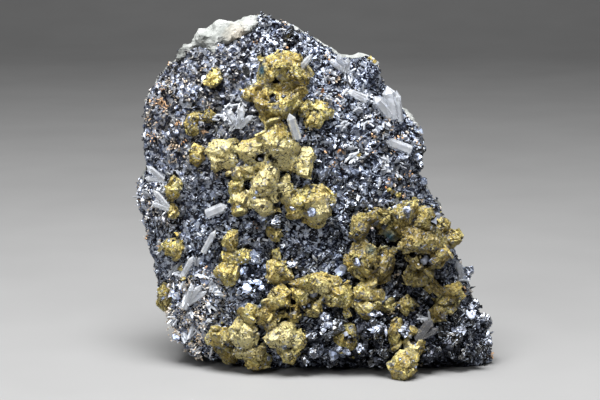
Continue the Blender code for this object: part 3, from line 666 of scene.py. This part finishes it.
def prism_shape(tip, lean):
    """A six-sided prism along Z that ends in an uneven pyramid."""
    deselect_all()
    bpy.ops.mesh.primitive_cylinder_add(vertices=6, radius=0.5, depth=1, end_fill_type="NGON")
    sides = bpy.context.object.data.polygons
    select_only(sides, [side.normal.z > 0.9 for side in sides])
    bpy.ops.mesh.extrude_region_move(TRANSFORM_OT_translate={"value": (lean, lean / 2, tip)})
    bpy.ops.transform.resize(value=(0.12, 0.2, 0.3), center_override=(lean, lean / 2, 0.5 + tip))
    return modelled_shape()


def rhomb_shape():
    """A rhomb: a cube standing on a corner, and a little flattened."""
    deselect_all()
    bpy.ops.mesh.primitive_cube_add(size=1, rotation=(math.radians(54.7), 0, math.radians(45)))
    bpy.ops.object.transform_apply(rotation=True)
    edit_all()
    bpy.ops.transform.resize(value=(1, 1, 0.75), center_override=(0, 0, 0))
    return modelled_shape()


def plate_shape():
    """A five-sided plate with a bevelled rim."""
    deselect_all()
    bpy.ops.mesh.primitive_cylinder_add(vertices=5, radius=0.5, depth=1, end_fill_type="NGON")
    edit_all()
    bpy.ops.mesh.bevel(offset=0.12, segments=1, affect="EDGES")
    return modelled_shape()


def grain_shapes():
    return [sphenoid_shape(30), rhomb_shape()]


def stretched(shapes):
    """The shapes, each scaled to be one unit long in every direction."""
    return [(corners / (corners.max(axis=0) - corners.min(axis=0)), faces) for corners, faces in shapes]


def unit(vectors):
    return vectors / np.maximum(np.linalg.norm(vectors, axis=-1, keepdims=True), 1e-12)


def turned_towards(normals, tilt, rng):
    """For each normal, a rotation that takes Z to it, tilted at random by up to the given angle."""
    count = len(normals)
    axis = normals + np.tan(tilt * rng.random(count))[:, None] * unit(rng.normal(size=(count, 3)))
    axis = unit(axis)
    side = unit(np.cross(axis, unit(rng.normal(size=(count, 3)))))
    return np.stack([side, np.cross(axis, side), axis], axis=2)


def crowd(name, shapes, centres, turns, sizes, tones, material):
    """Many crystals as one mesh. Each has its centre, turn, size along its own axes, and tone."""
    kinds = np.arange(len(centres)) % len(shapes)
    corners, loops, starts, colours, count, loop_count = [], [], [], [], 0, 0
    for kind, (shape, faces) in enumerate(shapes):
        own = kinds == kind
        placed = np.einsum("nij,nkj->nki", turns[own], shape[None] * sizes[own][:, None, :])
        placed += centres[own][:, None]
        flat = np.concatenate([np.array(f) for f in faces])
        lengths = np.array([len(f) for f in faces])
        offsets = count + np.arange(own.sum()) * len(shape)
        corners.append(placed.reshape(-1, 3))
        loops.append((flat[None] + offsets[:, None]).ravel())
        first = np.concatenate([[0], np.cumsum(lengths)[:-1]])
        starts.append((first[None] + loop_count + np.arange(own.sum())[:, None] * len(flat)).ravel())
        colours.append(np.repeat(tones[own], len(shape), axis=0))
        count += own.sum() * len(shape)
        loop_count += own.sum() * len(flat)
    arrays = (np.concatenate(parts) for parts in (corners, loops, starts, colours))
    return mesh_from_arrays(name, *arrays, material)


def mesh_from_arrays(name, corners, loops, starts, colours, material):
    mesh = bpy.data.meshes.new(name)
    mesh.vertices.add(len(corners))
    mesh.vertices.foreach_set("co", corners.ravel())
    mesh.loops.add(len(loops))
    mesh.loops.foreach_set("vertex_index", loops)
    mesh.polygons.add(len(starts))
    mesh.polygons.foreach_set("loop_start", starts)
    tone = mesh.attributes.new("tone", "FLOAT_COLOR", "POINT")
    tone.data.foreach_set("color", np.hstack([colours, np.ones((len(colours), 1))]).ravel())
    mesh.update(calc_edges=True)
    mesh.validate()
    mesh.shade_flat()
    mesh.materials.append(material)
    own_patch_for_each_face(mesh)
    return add_object(name, mesh)


def own_patch_for_each_face(mesh):
    """A UV map that gives each face its own square of a grid, for the colours to be kept in."""
    count = len(mesh.polygons)
    across = math.ceil(math.sqrt(count))
    layer = mesh.uv_layers.new(name="OFBake")
    starts = read_all(mesh.polygons, "loop_start", kind=int)
    totals = read_all(mesh.polygons, "loop_total", kind=int)
    face = np.repeat(np.arange(count), totals)
    angle = math.tau * (np.arange(len(face)) - starts[face]) / totals[face]
    u = face % across + 0.5 + 0.4 * np.cos(angle)
    v = face // across + 0.5 + 0.4 * np.sin(angle)
    layer.data.foreach_set("uv", (np.stack([u, v], axis=1) / across).ravel())


# ---------------------------------------------------------------- where each mineral grows


def region(points, x, z, radius):
    """How strongly each point belongs to a round region of the face, 1 at its middle."""
    away = np.hypot(points[:, 0] / MM - x, points[:, 2] / MM - z)
    return np.clip(1.4 - 1.4 * (away / radius) ** 2, 0, 1)


def regions(points, *places):
    return np.max([region(points, *place) for place in places], axis=0)


def fineness(points):
    """1 where the crystals are smallest, 0 where they are largest."""
    fine = regions(
        points, (-36, 84, 26), (-40, 66, 18), (4, 86, 16), (-46, 40, 16), (-34, 12, 18), (26, 74, 14)
    )
    coarse = regions(
        points, (34, 10, 24), (6, 10, 18), (-12, 34, 14), (8, 56, 16), (8, 40, 12), (26, 60, 12)
    )
    return np.clip(0.5 + 0.5 * fine - 0.5 * coarse, 0, 1)


def sphalerite_tones(points, rng, creamy):
    """Black, steel grey and pale crystals, in patches, with this share of the places for cream ones taken."""
    count = len(points)
    x, z = points[:, 0] / MM, points[:, 2] / MM
    patches = np.sin(x / 2.9 + 1.3 * np.sin(z / 4.1)) * np.sin(z / 3.3 + 1.7 * np.sin(x / 3.7))
    # The pale region's tones are lifted: partly its own cream and white, partly painted light where the face
    # turns down, away from the lamps.
    pale = regions(points, (-36, 15, 19), (-47, 50, 9), (-20, 30, 8))
    shade = rng.random(count) - 0.13 * patches + 0.4 * pale + 0.04
    black_grey_or_pale = np.where(shade < 0.5, 0.014, np.where(shade < 0.88, 0.13, 0.34))
    light = black_grey_or_pale * rng.uniform(0.5, 1.4, count)
    light += 0.26 * pale * rng.random(count)
    light *= 1 + 2.2 * pale - 0.72 * regions(points, (-36, 82, 32), (-14, 94, 20), (14, 84, 10))
    # Blacker tones at the lower right: partly its own black crystals, partly painted shade.
    black_and_shaded_corner = regions(points, (33, 8, 25), (14, 8, 16))
    light *= 1 - 0.95 * black_and_shaded_corner * (rng.random(count) < 0.97)
    warmth = regions(points, (-36, 80, 28), (-46, 50, 12))[:, None]
    tones = light[:, None] * (
        np.array([0.86, 0.96, 1.17]) * (1 - warmth) + np.array([1.0, 0.97, 0.95]) * warmth
    )
    cream = regions(
        points, (-40, 84, 12), (-45, 70, 10), (-46, 50, 10), (-36, 14, 15), (10, 66, 8), (24, 72, 9),
        (8, 84, 8), (-34, 24, 10),
    )
    warm = rng.random(count) < creamy * (0.03 + 0.34 * cream)
    tones[warm] = np.array([0.58, 0.47, 0.35]) * rng.uniform(0.4, 1.3, (warm.sum(), 1))
    tones[warm] *= (1 + 0.6 * pale[warm])[:, None]
    return tones


def grow_sphalerite(name, seed, ground, surfaces, brass, material, spacing, small, large):
    """A crowd of sphalerite crystals on the crust, of these sizes in mm."""
    rng = np.random.default_rng(seed)
    grains = large < 2
    points, normals = open_places(ground, spacing, surfaces, 0.9, rng)
    fine = fineness(points)
    corner = regions(points, (33, 8, 26), (14, 8, 18))
    share = 0.45 + 0.55 * fine - 0.25 * corner if grains else 1 - 0.75 * fine
    keep = rng.random(len(points)) < share
    points, normals, fine, corner = kept_places(keep, points, normals, fine, corner)
    size = small + (large - small) * rng.random(len(points)) ** 2
    size = (1 if grains else 1 + 0.3 * corner) * size * (1.3 - 0.5 * fine) * MM
    size *= np.where(normals[:, 1] > -0.4, 0.62, 1)
    centres = points + normals * (size * rng.uniform(-0.1, 0.35, len(points)))[:, None]
    near_brass = np.array([brass.find_nearest(Vector(centre), 3 * MM)[3] or 1 for centre in centres])
    keep = clear_of_floor(centres, size) & (near_brass > 0.3 * size)
    points, normals, centres, size = kept_places(keep, points, normals, centres, size)
    sizes = size[:, None] * rng.uniform(0.6, 1.15, (len(points), 3))
    drawn_out = rng.random((len(points), 1)) < 0.5
    sizes *= np.where(drawn_out, np.array([[0.4, 0.8, 1.7 if grains else 1.1]]), 1)
    turns = turned_towards(normals, 1.4, rng)
    tones = sphalerite_tones(points, rng, grains)
    if grains:
        brassy = rng.random(len(points)) < 0.02 + 0.3 * (near_brass[keep] < 1.8 * MM)
        tones[brassy] = np.array([0.42, 0.34, 0.11]) * rng.uniform(0.4, 1.2, (brassy.sum(), 1))
        shapes = grain_shapes()
    else:
        shapes = [sphenoid_shape(22), dodecahedron_shape(), sphenoid_shape(34), stepped_shape()]
    return crowd(name, shapes, centres, turns, sizes, tones, material)


def grow_quartz(ground, surfaces, material):
    """The needles of quartz, which stand in small fans among the sphalerite or lie on it."""
    rng = np.random.default_rng(12)
    feet, normals = open_places(ground, 1.6, surfaces, 2.5, rng)
    feet, normals = kept_places(normals[:, 1] < -0.5, feet, normals)
    white = regions(
        feet, (7, 84, 10), (17, 78, 10), (24, 62, 6), (-45, 54, 8), (-34, 23, 11), (-39, 13, 12),
        (-42, 34, 6), (-23, 77, 6), (33, 16, 5), (45, 28, 6), (42, 34, 4), (-32, 28, 5), (12, 66, 5),
    )
    dark = regions(feet, (34, 8, 22), (8, 10, 16))
    keep = rng.random(len(feet)) < 0.13 + 0.7 * white - 0.3 * dark
    feet, normals, white = kept_places(keep, feet, normals, white)
    each = rng.integers(2, 6, len(feet)) + (4 * white).astype(int)
    fan = np.repeat(np.arange(len(feet)), each)
    count = len(fan)
    axes = turned_towards(normals, 1.35, rng)[:, :, 2]
    turns = turned_towards(axes[fan], 0.9, rng)
    foot = feet[fan] + rng.normal(0, 0.5 * MM, (count, 3)) + normals[fan] * (0.6 * MM)
    length = rng.uniform(0.8, 2.6, count) * (rng.uniform(0.7, 1.2, len(feet)) * (1 + 0.5 * white))[fan] * MM
    length *= np.where(normals[fan][:, 1] > -0.75, 0.6, 1)
    thick = np.minimum(length * rng.uniform(0.16, 0.4, count), 0.65 * MM)
    inward = (turns[:, :, 2] * normals[fan]).sum(axis=1) < -0.1
    turns[inward, :, 2] *= -1
    turns[inward, :, 0] *= -1
    centres = foot + turns[:, :, 2] * (length * 0.35)[:, None]
    sizes = np.stack([thick, thick * rng.uniform(0.7, 1, count), length], axis=1)
    keep = clear_of_floor(centres, length) & held_by(ground, foot, 1.2 * MM)
    light = rng.uniform(0.25, 0.65, count) + 0.28 * white[fan] + 0.3 * region(centres, *LOWER_LEFT)
    tones = light[:, None] * np.array([0.84, 0.88, 0.95])
    shapes = stretched([prism_shape(0.22, 0.06), prism_shape(0.3, -0.1), prism_shape(0.16, 0.0)])
    return crowd("quartz_needles", shapes, *kept_places(keep, centres, turns, sizes, tones), material)


def grow_crumbs(ground, surfaces, material):
    """Rhombs of pale or rusty carbonate, in small huddles."""
    rng = np.random.default_rng(13)
    points, normals = open_places(ground, 1.7, surfaces, 2, rng)
    tan = regions(
        points, (-40, 84, 9), (-45, 74, 7), (-38, 70, 6), (11, 68, 6), (20, 73, 6), (28, 70, 5), (6, 64, 5),
        (-41.5, 62.5, 3), (-37, 65, 4), (21.5, 29.5, 3.5), (-34, 24, 10), (-38, 11, 12), (5, 84, 6),
        (-20, 97, 6), (44, 22, 3), (26, 56, 5), (-46, 48, 6), (-30, 62, 4),
    )
    keep = rng.random(len(points)) < 0.08 + 0.85 * tan - 0.08 * regions(points, (34, 8, 24), (8, 8, 14))
    points, normals = kept_places(keep, points, normals)
    lower_left = region(points, *LOWER_LEFT)
    extra = (6 * lower_left + 5 * region(points, -42, 78, 16)).astype(int)
    each = rng.integers(1, 8, len(points)) + extra
    huddle = np.repeat(np.arange(len(points)), each)
    count = len(huddle)
    size = rng.uniform(0.4, 0.85, count) * rng.uniform(0.7, 1.3, len(points))[huddle] * MM
    middles, normals, lower_left = kept_places(huddle, points, normals, lower_left)
    sideways = normals[:, 1] > -0.4
    spread = rng.normal(0, 0.7 * MM, (count, 3)) * np.where(sideways, 0.6, 1)[:, None]
    spread -= (spread * normals).sum(axis=1)[:, None] * normals
    height = rng.uniform(0.5, 1.5, count) * np.where(sideways, 0.35, 1) * MM
    centres = middles + spread + normals * height[:, None]
    centres += normals * (0.4 * lower_left * ~sideways * MM)[:, None]
    sizes = size[:, None] * np.array([0.6, 0.8, 2.2]) * rng.uniform(0.6, 1.2, (count, 3))
    turns = turned_towards(normals, 1.5, rng)
    colour = rng.choice(5, len(points), p=[0.38, 0.13, 0.04, 0.37, 0.08])[huddle]
    creamy = rng.random(count) < 1.3 * lower_left
    colour[creamy] = rng.choice([0, 1, 4], creamy.sum(), p=[0.45, 0.35, 0.2])
    stray = (rng.random(count) < 0.2) & ~creamy
    colour[stray] = rng.choice(5, stray.sum(), p=[0.3, 0.25, 0.1, 0.2, 0.15])
    tones = CRUMB_COLOURS[colour] * rng.uniform(0.5, 1.15, (count, 1))
    tones *= 1 + 0.8 * lower_left[:, None]
    keep = clear_of_floor(centres, size) & (~sideways | held_by(ground, centres, 0.7 * MM))
    kept = kept_places(keep, centres, turns, sizes, tones)
    return crowd("carbonate_crumbs", [rhomb_shape()], *kept, material)


def grow_rim(rock, crust, material):
    """The crystals that run from the crust onto the sides of the rock, in a ragged edge."""
    rng = np.random.default_rng(19)
    points, normals = points_on(rock, 0.8 * MM, rng)
    away = np.array([crust.find_nearest(Vector(point), 6 * MM)[3] or 6 * MM for point in points]) / MM
    x, z = points[:, 0] / MM, points[:, 2] / MM
    reach = 2.6 + 1.3 * np.sin(z / 3.3 + 1.4 * np.sin(x / 4.1)) + 0.8 * np.sin(z / 1.3 + x / 1.9)
    bare = region(points, -27, 101, 17)
    keep = (rng.random(len(points)) < (1.25 - away / reach) * (1 - bare)) & (z > 1)
    points, normals = kept_places(keep, points, normals)
    sizes = (rng.uniform(0.7, 2.0, len(points)) * MM)[:, None] * rng.uniform(0.5, 1.15, (len(points), 3))
    centres = points + normals * 0.1 * MM
    turns = turned_towards(normals, 1.4, rng)
    tones = sphalerite_tones(points, rng, 1)
    keep = clear_of_floor(centres, sizes.max(axis=1))
    return crowd("rim_crystals", grain_shapes(), *kept_places(keep, centres, turns, sizes, tones), material)


def bed_crystals(name, seed, places, shapes, material, proud, shade):
    """Crystals at (point, size in mm) places, any way up, of this shade or, with none, the crust's tones."""
    rng = np.random.default_rng(seed)
    count = len(places)
    centres = np.array([point for point, _ in places])
    sizes = np.array([size for _, size in places])[:, None] * rng.uniform(0.6, 1.15, (count, 3)) * MM
    centres[:, 1] -= proud * sizes.mean(axis=1)
    turns = turned_towards(unit(rng.normal(size=(count, 3))), 0.1, rng)
    if shade is None:
        tones = sphalerite_tones(centres, rng, 1)
    else:
        tones = shade * rng.choice([0.2, 0.8, 1.3], (count, 1)) * np.array([0.88, 0.95, 1.14])
    keep = clear_of_floor(centres, sizes.max(axis=1))
    return crowd(name, shapes, *kept_places(keep, centres, turns, sizes, tones), material)


def broken_faces(name, seed, places, surfaces, material):
    """Large faces that catch the light, each broken into overlapping plates that look nearly one way."""
    rng = np.random.default_rng(seed)
    face = np.repeat(np.arange(len(places)), PLATES_TO_A_FACE)
    count = len(face)
    x, z, width, height = np.array(places)[face].T
    x = x + rng.uniform(-0.4, 0.4, count) * width
    z = z + rng.uniform(-0.4, 0.4, count) * height
    middle = np.array([front_of(surfaces, *place[:2]) for place in places])[face]
    depth = middle[:, 1] - 0.4 * MM + 0.8 * (z * MM - middle[:, 2])
    centres = np.stack([x * MM, depth, z * MM], axis=1)
    centres[:, 1] += rng.normal(0, 0.35 * MM, count)
    look = unit(np.tile([-0.05, -0.76, 0.64], (len(places), 1)) + rng.normal(0, 0.09, (len(places), 3)))[face]
    turns = turned_towards(look, 0.22, rng)
    sizes = np.stack([width * 0.75, height * 0.75, np.full(count, 0.9)], axis=1)
    sizes *= rng.uniform(0.5, 1.1, (count, 3)) * MM
    tones = rng.choice([0.02, 0.07, 0.2, 0.42], (count, 1)) * np.array([0.93, 0.97, 1.08])
    keep = clear_of_floor(centres, sizes.max(axis=1))
    shapes = [dodecahedron_shape(), plate_shape()]
    return crowd(name, shapes, *kept_places(keep, centres, turns, sizes, tones), material)


def strewn_on(nodes, surfaces, spacing, share, rng, largest=1.3):
    """Places on some nodes for small bedded crystals, more on their rims, as (point, size in mm)."""
    places = []
    for node in nodes:
        points, normals = points_on(node, spacing * MM, rng)
        free = open_points(points, normals, surfaces, 1.5) & (normals[:, 1] < 0.3)
        wanted = np.where(normals[:, 1] < -0.6, share, 3.2 * share)
        points = points[free & (rng.random(len(points)) < wanted)]
        places += [(point, rng.uniform(0.5, largest)) for point in points]
    return places


def around_feet(nodes, crust, spacing, reach, rng):
    """Places low on some nodes, within reach of the crust, for the crystals that bury their feet."""
    places = []
    for node in nodes:
        points, normals = points_on(node, spacing * MM, rng)
        for point, normal in zip(points, normals):
            height = crust.find_nearest(Vector(point), reach * MM)[3]
            if height is not None and normal[1] < 0.4 and rng.random() < 1.15 - height / (reach * MM):
                places.append((point + normal * 0.15 * MM, rng.uniform(0.6, 1.9)))
    return places


# ---------------------------------------------------------------- rough skins


def merge_corners(obj):
    make_active(obj)
    edit_all()
    bpy.ops.mesh.remove_doubles(threshold=MERGE * MM)
    mode("OBJECT")


def remesh(obj, voxel):
    """Gives the object one even mesh, with this many millimetres between its points."""
    even = obj.modifiers.new("even_mesh", "REMESH")
    even.mode = "VOXEL"
    even.voxel_size = voxel * MM


def surface_texture(name, kind, size, **settings):
    made = bpy.data.textures.new(name, kind)
    made.noise_scale = size * MM
    for key, value in settings.items():
        setattr(made, key, value)
    return made


def displace_all(obj, textures, turn=(0, 0, 0)):
    """Applies an object's modifiers, then (texture, strength in mm, middle) reliefs that all lie one way."""
    way = add_object("way", None)
    way.rotation_euler = turn
    bpy.context.view_layer.update()
    for texture, strength, middle in textures:
        displace = obj.modifiers.new(texture.name, "DISPLACE")
        displace.texture = texture
        displace.texture_coords = "OBJECT"
        displace.texture_coords_object = way
        displace.strength = strength * MM
        displace.mid_level = middle
    apply_modifiers(obj)
    bpy.data.objects.remove(way)


def keep_above_floor(obj, gap):
    """Flattens what would reach below this height against it."""
    mesh = obj.data
    corners = read_all(mesh.vertices, "co", 3)
    corners[:, 2] = np.maximum(corners[:, 2], gap)
    mesh.vertices.foreach_set("co", corners.ravel())
    mesh.update()


def grow_chalcopyrite(node, seed, surfaces, material, textures):
    """A rough, stepped and pitted cluster, grown from the plain crystals of one node."""
    rng = np.random.default_rng(seed)
    points, normals = points_on(node, 1.1 * MM, rng)
    keep = rng.random(len(points)) < np.where(normals[:, 1] < -0.6, 0.0, 0.5)
    points, normals = kept_places(keep, points, normals)
    count = len(points)
    size = rng.uniform(0.7, 1.5, count) * MM
    lie = np.array(Euler(rng.uniform(0, math.tau, 3)).to_matrix())
    jitter = np.array([Euler(rng.normal(0, 0.16, 3)).to_matrix() for _ in range(count)])
    sizes = size[:, None] * rng.uniform(0.7, 1.1, (count, 3))
    centres = points - normals * (size * 0.26)[:, None]
    shapes = [sphenoid_shape(26), dodecahedron_shape()]
    tones = np.ones((count, 3))
    grown = crowd(node.name + "_crystals", shapes, centres, jitter @ lie, sizes, tones, material)
    body = copy_of(node, "body")
    body.data.materials.clear()
    merge_corners(body)
    edit_all()
    bpy.ops.mesh.normals_make_consistent(inside=False)
    bpy.ops.transform.shrink_fatten(value=SWELL * MM, use_even_offset=False)
    mode("OBJECT")
    join(grown, body)
    remesh(grown, BRASS_VOXEL)
    displace_all(grown, textures, Euler(rng.uniform(0, math.tau, 3)))
    mark_hollows(grown.data)
    add_faces(grown, surfaces, material, rng, 2, 0.85, 2.2, 4.8, 0.3, 0.35)
    add_faces(grown, surfaces, material, rng, 0.9, 0.12, 0.5, 1.2, 0.9, 0.1)
    for x, z, radius, depth in HOLES.get(node.name.removeprefix("chalcopyrite_"), ()):
        for _ in range(PRESSES_TO_A_HOLE):
            away = rng.uniform(-0.5, 0.5, 2) * radius
            own_radius, own_depth = radius * rng.uniform(0.6, 1.0), depth * rng.uniform(0.5, 1.0)
            press_hole(grown, x + away[0], z + away[1], own_radius, own_depth)
    keep_above_floor(grown, 0.02 * MM)
    return grown


def add_faces(body, surfaces, material, rng, spacing, share, small, large, flatness, sunk):
    """Crystals of these sizes in mm that lie flat on a cluster, with sharp edges over its rough skin."""
    points, normals = points_on(body, spacing * MM, rng)
    keep = open_points(points, normals, surfaces, 1.2) & (rng.random(len(points)) < share)
    points, normals = kept_places(keep, points, normals)
    count = len(points)
    size = rng.uniform(small, large, count) * MM
    sizes = size[:, None] * rng.uniform(0.7, 1.1, (count, 3)) * np.array([1, 1, flatness])
    centres = points - normals * (sizes[:, 2] * sunk)[:, None]
    shapes = stretched([sphenoid_shape(22), plate_shape(), stepped_shape(), sphenoid_shape(34)])
    turns = turned_towards(normals, 0.18, rng)
    grains = crowd("faces", shapes, centres, turns, sizes, np.ones((count, 3)), material)
    corners = len(grains.data.vertices)
    # Middling hollow values on these crystals: a little painted highlight, next to no painted shade.
    set_hollow(grains.data, np.repeat(rng.uniform(0.42, 0.8, corners // 4 + 1), 4)[:corners])
    join(body, grains)


def press_hole(obj, x, z, radius, depth):
    """Presses a rough-edged hollow into the front of a fine mesh."""
    mesh = obj.data
    corners = read_all(mesh.vertices, "co", 3)
    away = np.hypot(corners[:, 0] / MM - x, corners[:, 2] / MM - z)
    inside = np.flatnonzero(away < 0.4 * radius)
    if len(inside) == 0:
        return
    front = corners[inside, 1].min()
    chosen = np.zeros(len(corners), dtype=bool)
    chosen[inside] = corners[inside, 1] < front + 1.5 * MM
    make_active(obj)
    select_only(mesh.vertices, chosen)
    bpy.ops.transform.translate(
        value=(0, depth * MM, 0), use_proportional_edit=True, proportional_edit_falloff="SPHERE",
        proportional_size=0.7 * radius * MM,
    )
    mode("OBJECT")
    # The pressed points count as deeper hollows, for more painted shade in the hole.
    moved = read_all(mesh.vertices, "co", 3)[:, 1] - corners[:, 1]
    hollow = mesh.attributes["hollow"].data
    hollow.foreach_set("value", np.clip(read_all(hollow, "value") - moved / (1.2 * MM), 0, 1))


def set_hollow(mesh, values):
    mesh.attributes.new("hollow", "FLOAT", "POINT").data.foreach_set("value", values)


def mark_hollows(mesh):
    """Keeps how far each point of a mesh stands out of what is around it: 0 in a hollow, 1 on an edge, for
    painted shade in hollows and painted highlights on edges.
    """
    corners = read_all(mesh.vertices, "co", 3)
    normals = read_all(mesh.vertex_normals, "vector", 3)
    edges = read_all(mesh.edges, "vertices", 2, int)
    smooth = corners.copy()
    degree = np.bincount(edges.ravel(), minlength=len(corners))[:, None]
    for _ in range(SMOOTHING_ROUNDS):
        total = np.empty_like(smooth)
        for axis in range(3):
            total[:, axis] = np.bincount(edges[:, 0], smooth[edges[:, 1], axis], len(corners))
            total[:, axis] += np.bincount(edges[:, 1], smooth[edges[:, 0], axis], len(corners))
        smooth = total / np.maximum(degree, 1)
    proud = ((corners - smooth) * normals).sum(axis=1)
    set_hollow(mesh, np.clip(0.5 + proud / (0.9 * MM), 0, 1))


def roughen_crust(node, material):
    """The crust with the blocky ends of its many small crystals."""
    crust = copy_of(node, "crust_crystals")
    remesh(crust, CRUST_VOXEL)
    textures = (
        (surface_texture("large_crystals", "VORONOI", 3.0, distance_metric="CHEBYCHEV"), -1.6, 0.4),
        (surface_texture("small_crystals", "VORONOI", 1.5, distance_metric="CHEBYCHEV"), -0.7, 0.4),
    )
    displace_all(crust, textures, Euler((0.6, 0.9, 0.3)))
    keep_above_floor(crust, 0.2 * MM)
    wear(crust, material)
    crust.data.shade_flat()
    return crust


def break_rock(node, material):
    """The rock, with the roughness of a fresh break all over but on its flat foot."""
    rock = copy_of(node, "rock_body")
    merge_corners(rock)
    remesh(rock, ROCK_VOXEL)
    blocks = {"distance_metric": "DISTANCE", "noise_intensity": 1.0}
    textures = (
        (surface_texture("broken_blocks", "VORONOI", 9, **blocks), 1.6, 0.5),
        (surface_texture("steps_of_break", "CLOUDS", 6, noise_basis="CELL_NOISE", noise_depth=2), 1.5, 0.5),
        (surface_texture("rough_break", "CLOUDS", 4, noise_depth=4), 1.6, 0.5),
        (surface_texture("rock_grain", "CLOUDS", 1.2, noise_depth=2), 0.5, 0.5),
    )
    displace_all(rock, textures)
    for vertex in rock.data.vertices:
        if vertex.co.z < FOOT_ROUGHNESS * MM:
            vertex.co.z = max(0.0, vertex.co.z - FOOT_ROUGHNESS * MM)
    wear(rock, material)
    return rock


# ---------------------------------------------------------------- stage, light and camera


def pale_floor():
    """A plain pale floor that curves up behind into a backdrop."""
    deselect_all()
    bpy.ops.mesh.primitive_plane_add(size=3, location=(0, 0, 0))
    floor = bpy.context.object
    floor.name = "floor"
    corners, edges = floor.data.vertices, floor.data.edges
    select_only(edges, [all(corners[v].co.y > 1 for v in edge.vertices) for edge in edges])
    bpy.ops.mesh.extrude_region_move(TRANSFORM_OT_translate={"value": (0, 0, 2)})
    bpy.ops.mesh.select_all(action="SELECT")
    bpy.ops.mesh.normals_make_consistent(inside=True)
    mode("OBJECT")
    bend = floor.modifiers.new("curve", "BEVEL")
    bend.width = 0.6
    bend.segments = 12
    apply_modifiers(floor)
    bpy.ops.object.shade_smooth()
    shader = Shader("floor", Roughness=0.7)
    wear(floor, shader.finish(Base_Color=shader.ramp(shader.noise(60, 2), (0.3, 0.205), (0.7, 0.22))))


def soft_light(name, place, size, power):
    light = bpy.data.lights.new(name, "AREA")
    light.shape = "RECTANGLE"
    light.size, light.size_y = size
    light.energy = power
    obj = add_object(name, light)
    obj.location = place
    obj.rotation_euler = (CAMERA_AIM - Vector(place)).to_track_quat("-Z", "Y").to_euler()


def studio():
    for light in LIGHTS:
        soft_light(*light)
    world = bpy.data.worlds.new("studio")
    world.use_nodes = True
    background = world.node_tree.nodes["Background"].inputs
    background["Color"].default_value = (0.8, 0.85, 0.9, 1)
    background["Strength"].default_value = 0.02
    bpy.context.scene.world = world
    bpy.context.scene.view_settings.view_transform = "Standard"


def camera():
    data = bpy.data.cameras.new("camera")
    data.lens = CAMERA_LENS
    obj = add_object("camera", data)
    back = Vector((0, -math.cos(CAMERA_RISE), math.sin(CAMERA_RISE)))
    obj.location = CAMERA_AIM + back * CAMERA_DISTANCE
    obj.rotation_euler = (-back).to_track_quat("-Z", "Y").to_euler()
    bpy.context.scene.camera = obj


def main():
    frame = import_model()
    nodes = frame["nodes"]
    deselect_all()
    camera()
    pale_floor()
    studio()

    brassy = chalcopyrite_finish()
    steely = sphalerite_finish("sphalerite", 1.1, 0.3, 2.2)
    broken_steel = sphalerite_finish("sphalerite_grains", 0.9, 0.4, 1.6)
    clear = quartz_finish("quartz", (0.68, 0.71, 0.76), (0.90, 0.92, 0.95))
    # Dark grey quartz for the lower-right corner: painted shade.
    grey = quartz_finish("grey_quartz", (0.15, 0.15, 0.16), (0.27, 0.27, 0.28))
    milky = own_tone_finish("milky_quartz", 0.6, 0.03, Transmission_Weight=0.35, IOR=1.544, Roughness=0.18)
    carbonate = own_tone_finish("carbonate", 0.4, 0.05, Roughness=0.55)

    crust = roughen_crust(nodes["sphalerite_crust"], crust_finish())
    finish_piece(crust, "sphalerite", "sphalerite_crust")
    for name, node in nodes.items():
        if name.startswith("quartz_"):
            wear(node, grey if name == QUARTZ_IN_PAINTED_SHADE else clear)
    rock = break_rock(nodes["rock"], rock_finish())
    finish_piece(rock, "rock", "rock")

    surfaces = all_surfaces(nodes.values())
    textures = (
        (surface_texture("steps", "CLOUDS", 2.2, noise_basis="CELL_NOISE", noise_depth=1), 0.3, 0.5),
        (surface_texture("grain", "CLOUDS", 1.5, noise_type="HARD_NOISE", noise_depth=3), 0.3, 0.4),
        (surface_texture("pits", "CLOUDS", 0.6, noise_type="HARD_NOISE", noise_depth=1), 0.2, 0.5),
    )
    clusters = sorted(name for name in nodes if name.startswith("chalcopyrite_"))
    for seed, name in enumerate(clusters, 100):
        cluster = grow_chalcopyrite(nodes[name], seed, surfaces, brassy, textures)
        finish_piece(cluster, "chalcopyrite", name)

    brass_nodes = [nodes[name] for name in clusters]
    brass = all_surfaces(brass_nodes)
    plain_crust = all_surfaces([nodes["sphalerite_crust"]])
    rng = np.random.default_rng(31)
    steel_places = on_front(surfaces, BEDDED_SPHALERITE)
    steel_places += strewn_on(brass_nodes, surfaces, 1.5, 0.14, rng, 1.6)
    foot_places = around_feet(brass_nodes, plain_crust, 1.05, 2.6, rng)
    white_places = on_front(surfaces, BEDDED_QUARTZ) + strewn_on(brass_nodes, surfaces, 1.8, 0.07, rng)
    fleck_places = on_front(surfaces, BRASS_FLECKS)
    blunt, plate = sphenoid_shape(26), plate_shape()

    sphalerite = [
        grow_sphalerite("sphalerite_crystals", 11, crust, surfaces, brass, steely, 1.6, 1.3, 4.2),
        grow_sphalerite("sphalerite_grains", 21, crust, surfaces, brass, broken_steel, 0.85, 0.6, 1.5),
        bed_crystals(
            "bedded_sphalerite", 14, steel_places, [sphenoid_shape(30), plate], broken_steel, 0.05, 0.3
        ),
        bed_crystals("foot_crystals", 17, foot_places, grain_shapes(), broken_steel, 0.1, None),
        broken_faces("bright_sphalerite", 15, BRIGHT_FACES, surfaces, broken_steel),
    ]
    white = bed_crystals("bedded_quartz", 16, white_places, [rhomb_shape(), blunt, plate], milky, 0.05, 0.45)
    flecks = bed_crystals("brass_flecks", 18, fleck_places, [blunt, plate], brassy, 0.6, 1.0)
    set_hollow(flecks.data, np.full(len(flecks.data.vertices), 0.6))
    finish_piece(flecks, "chalcopyrite")
    for piece in (*sphalerite, grow_rim(rock, plain_crust, broken_steel)):
        finish_piece(piece, "sphalerite")
    finish_piece(white, "quartz")
    finish_piece(grow_quartz(crust, surfaces, milky), "quartz")
    finish_piece(grow_crumbs(crust, surfaces, carbonate), "rock")


main()
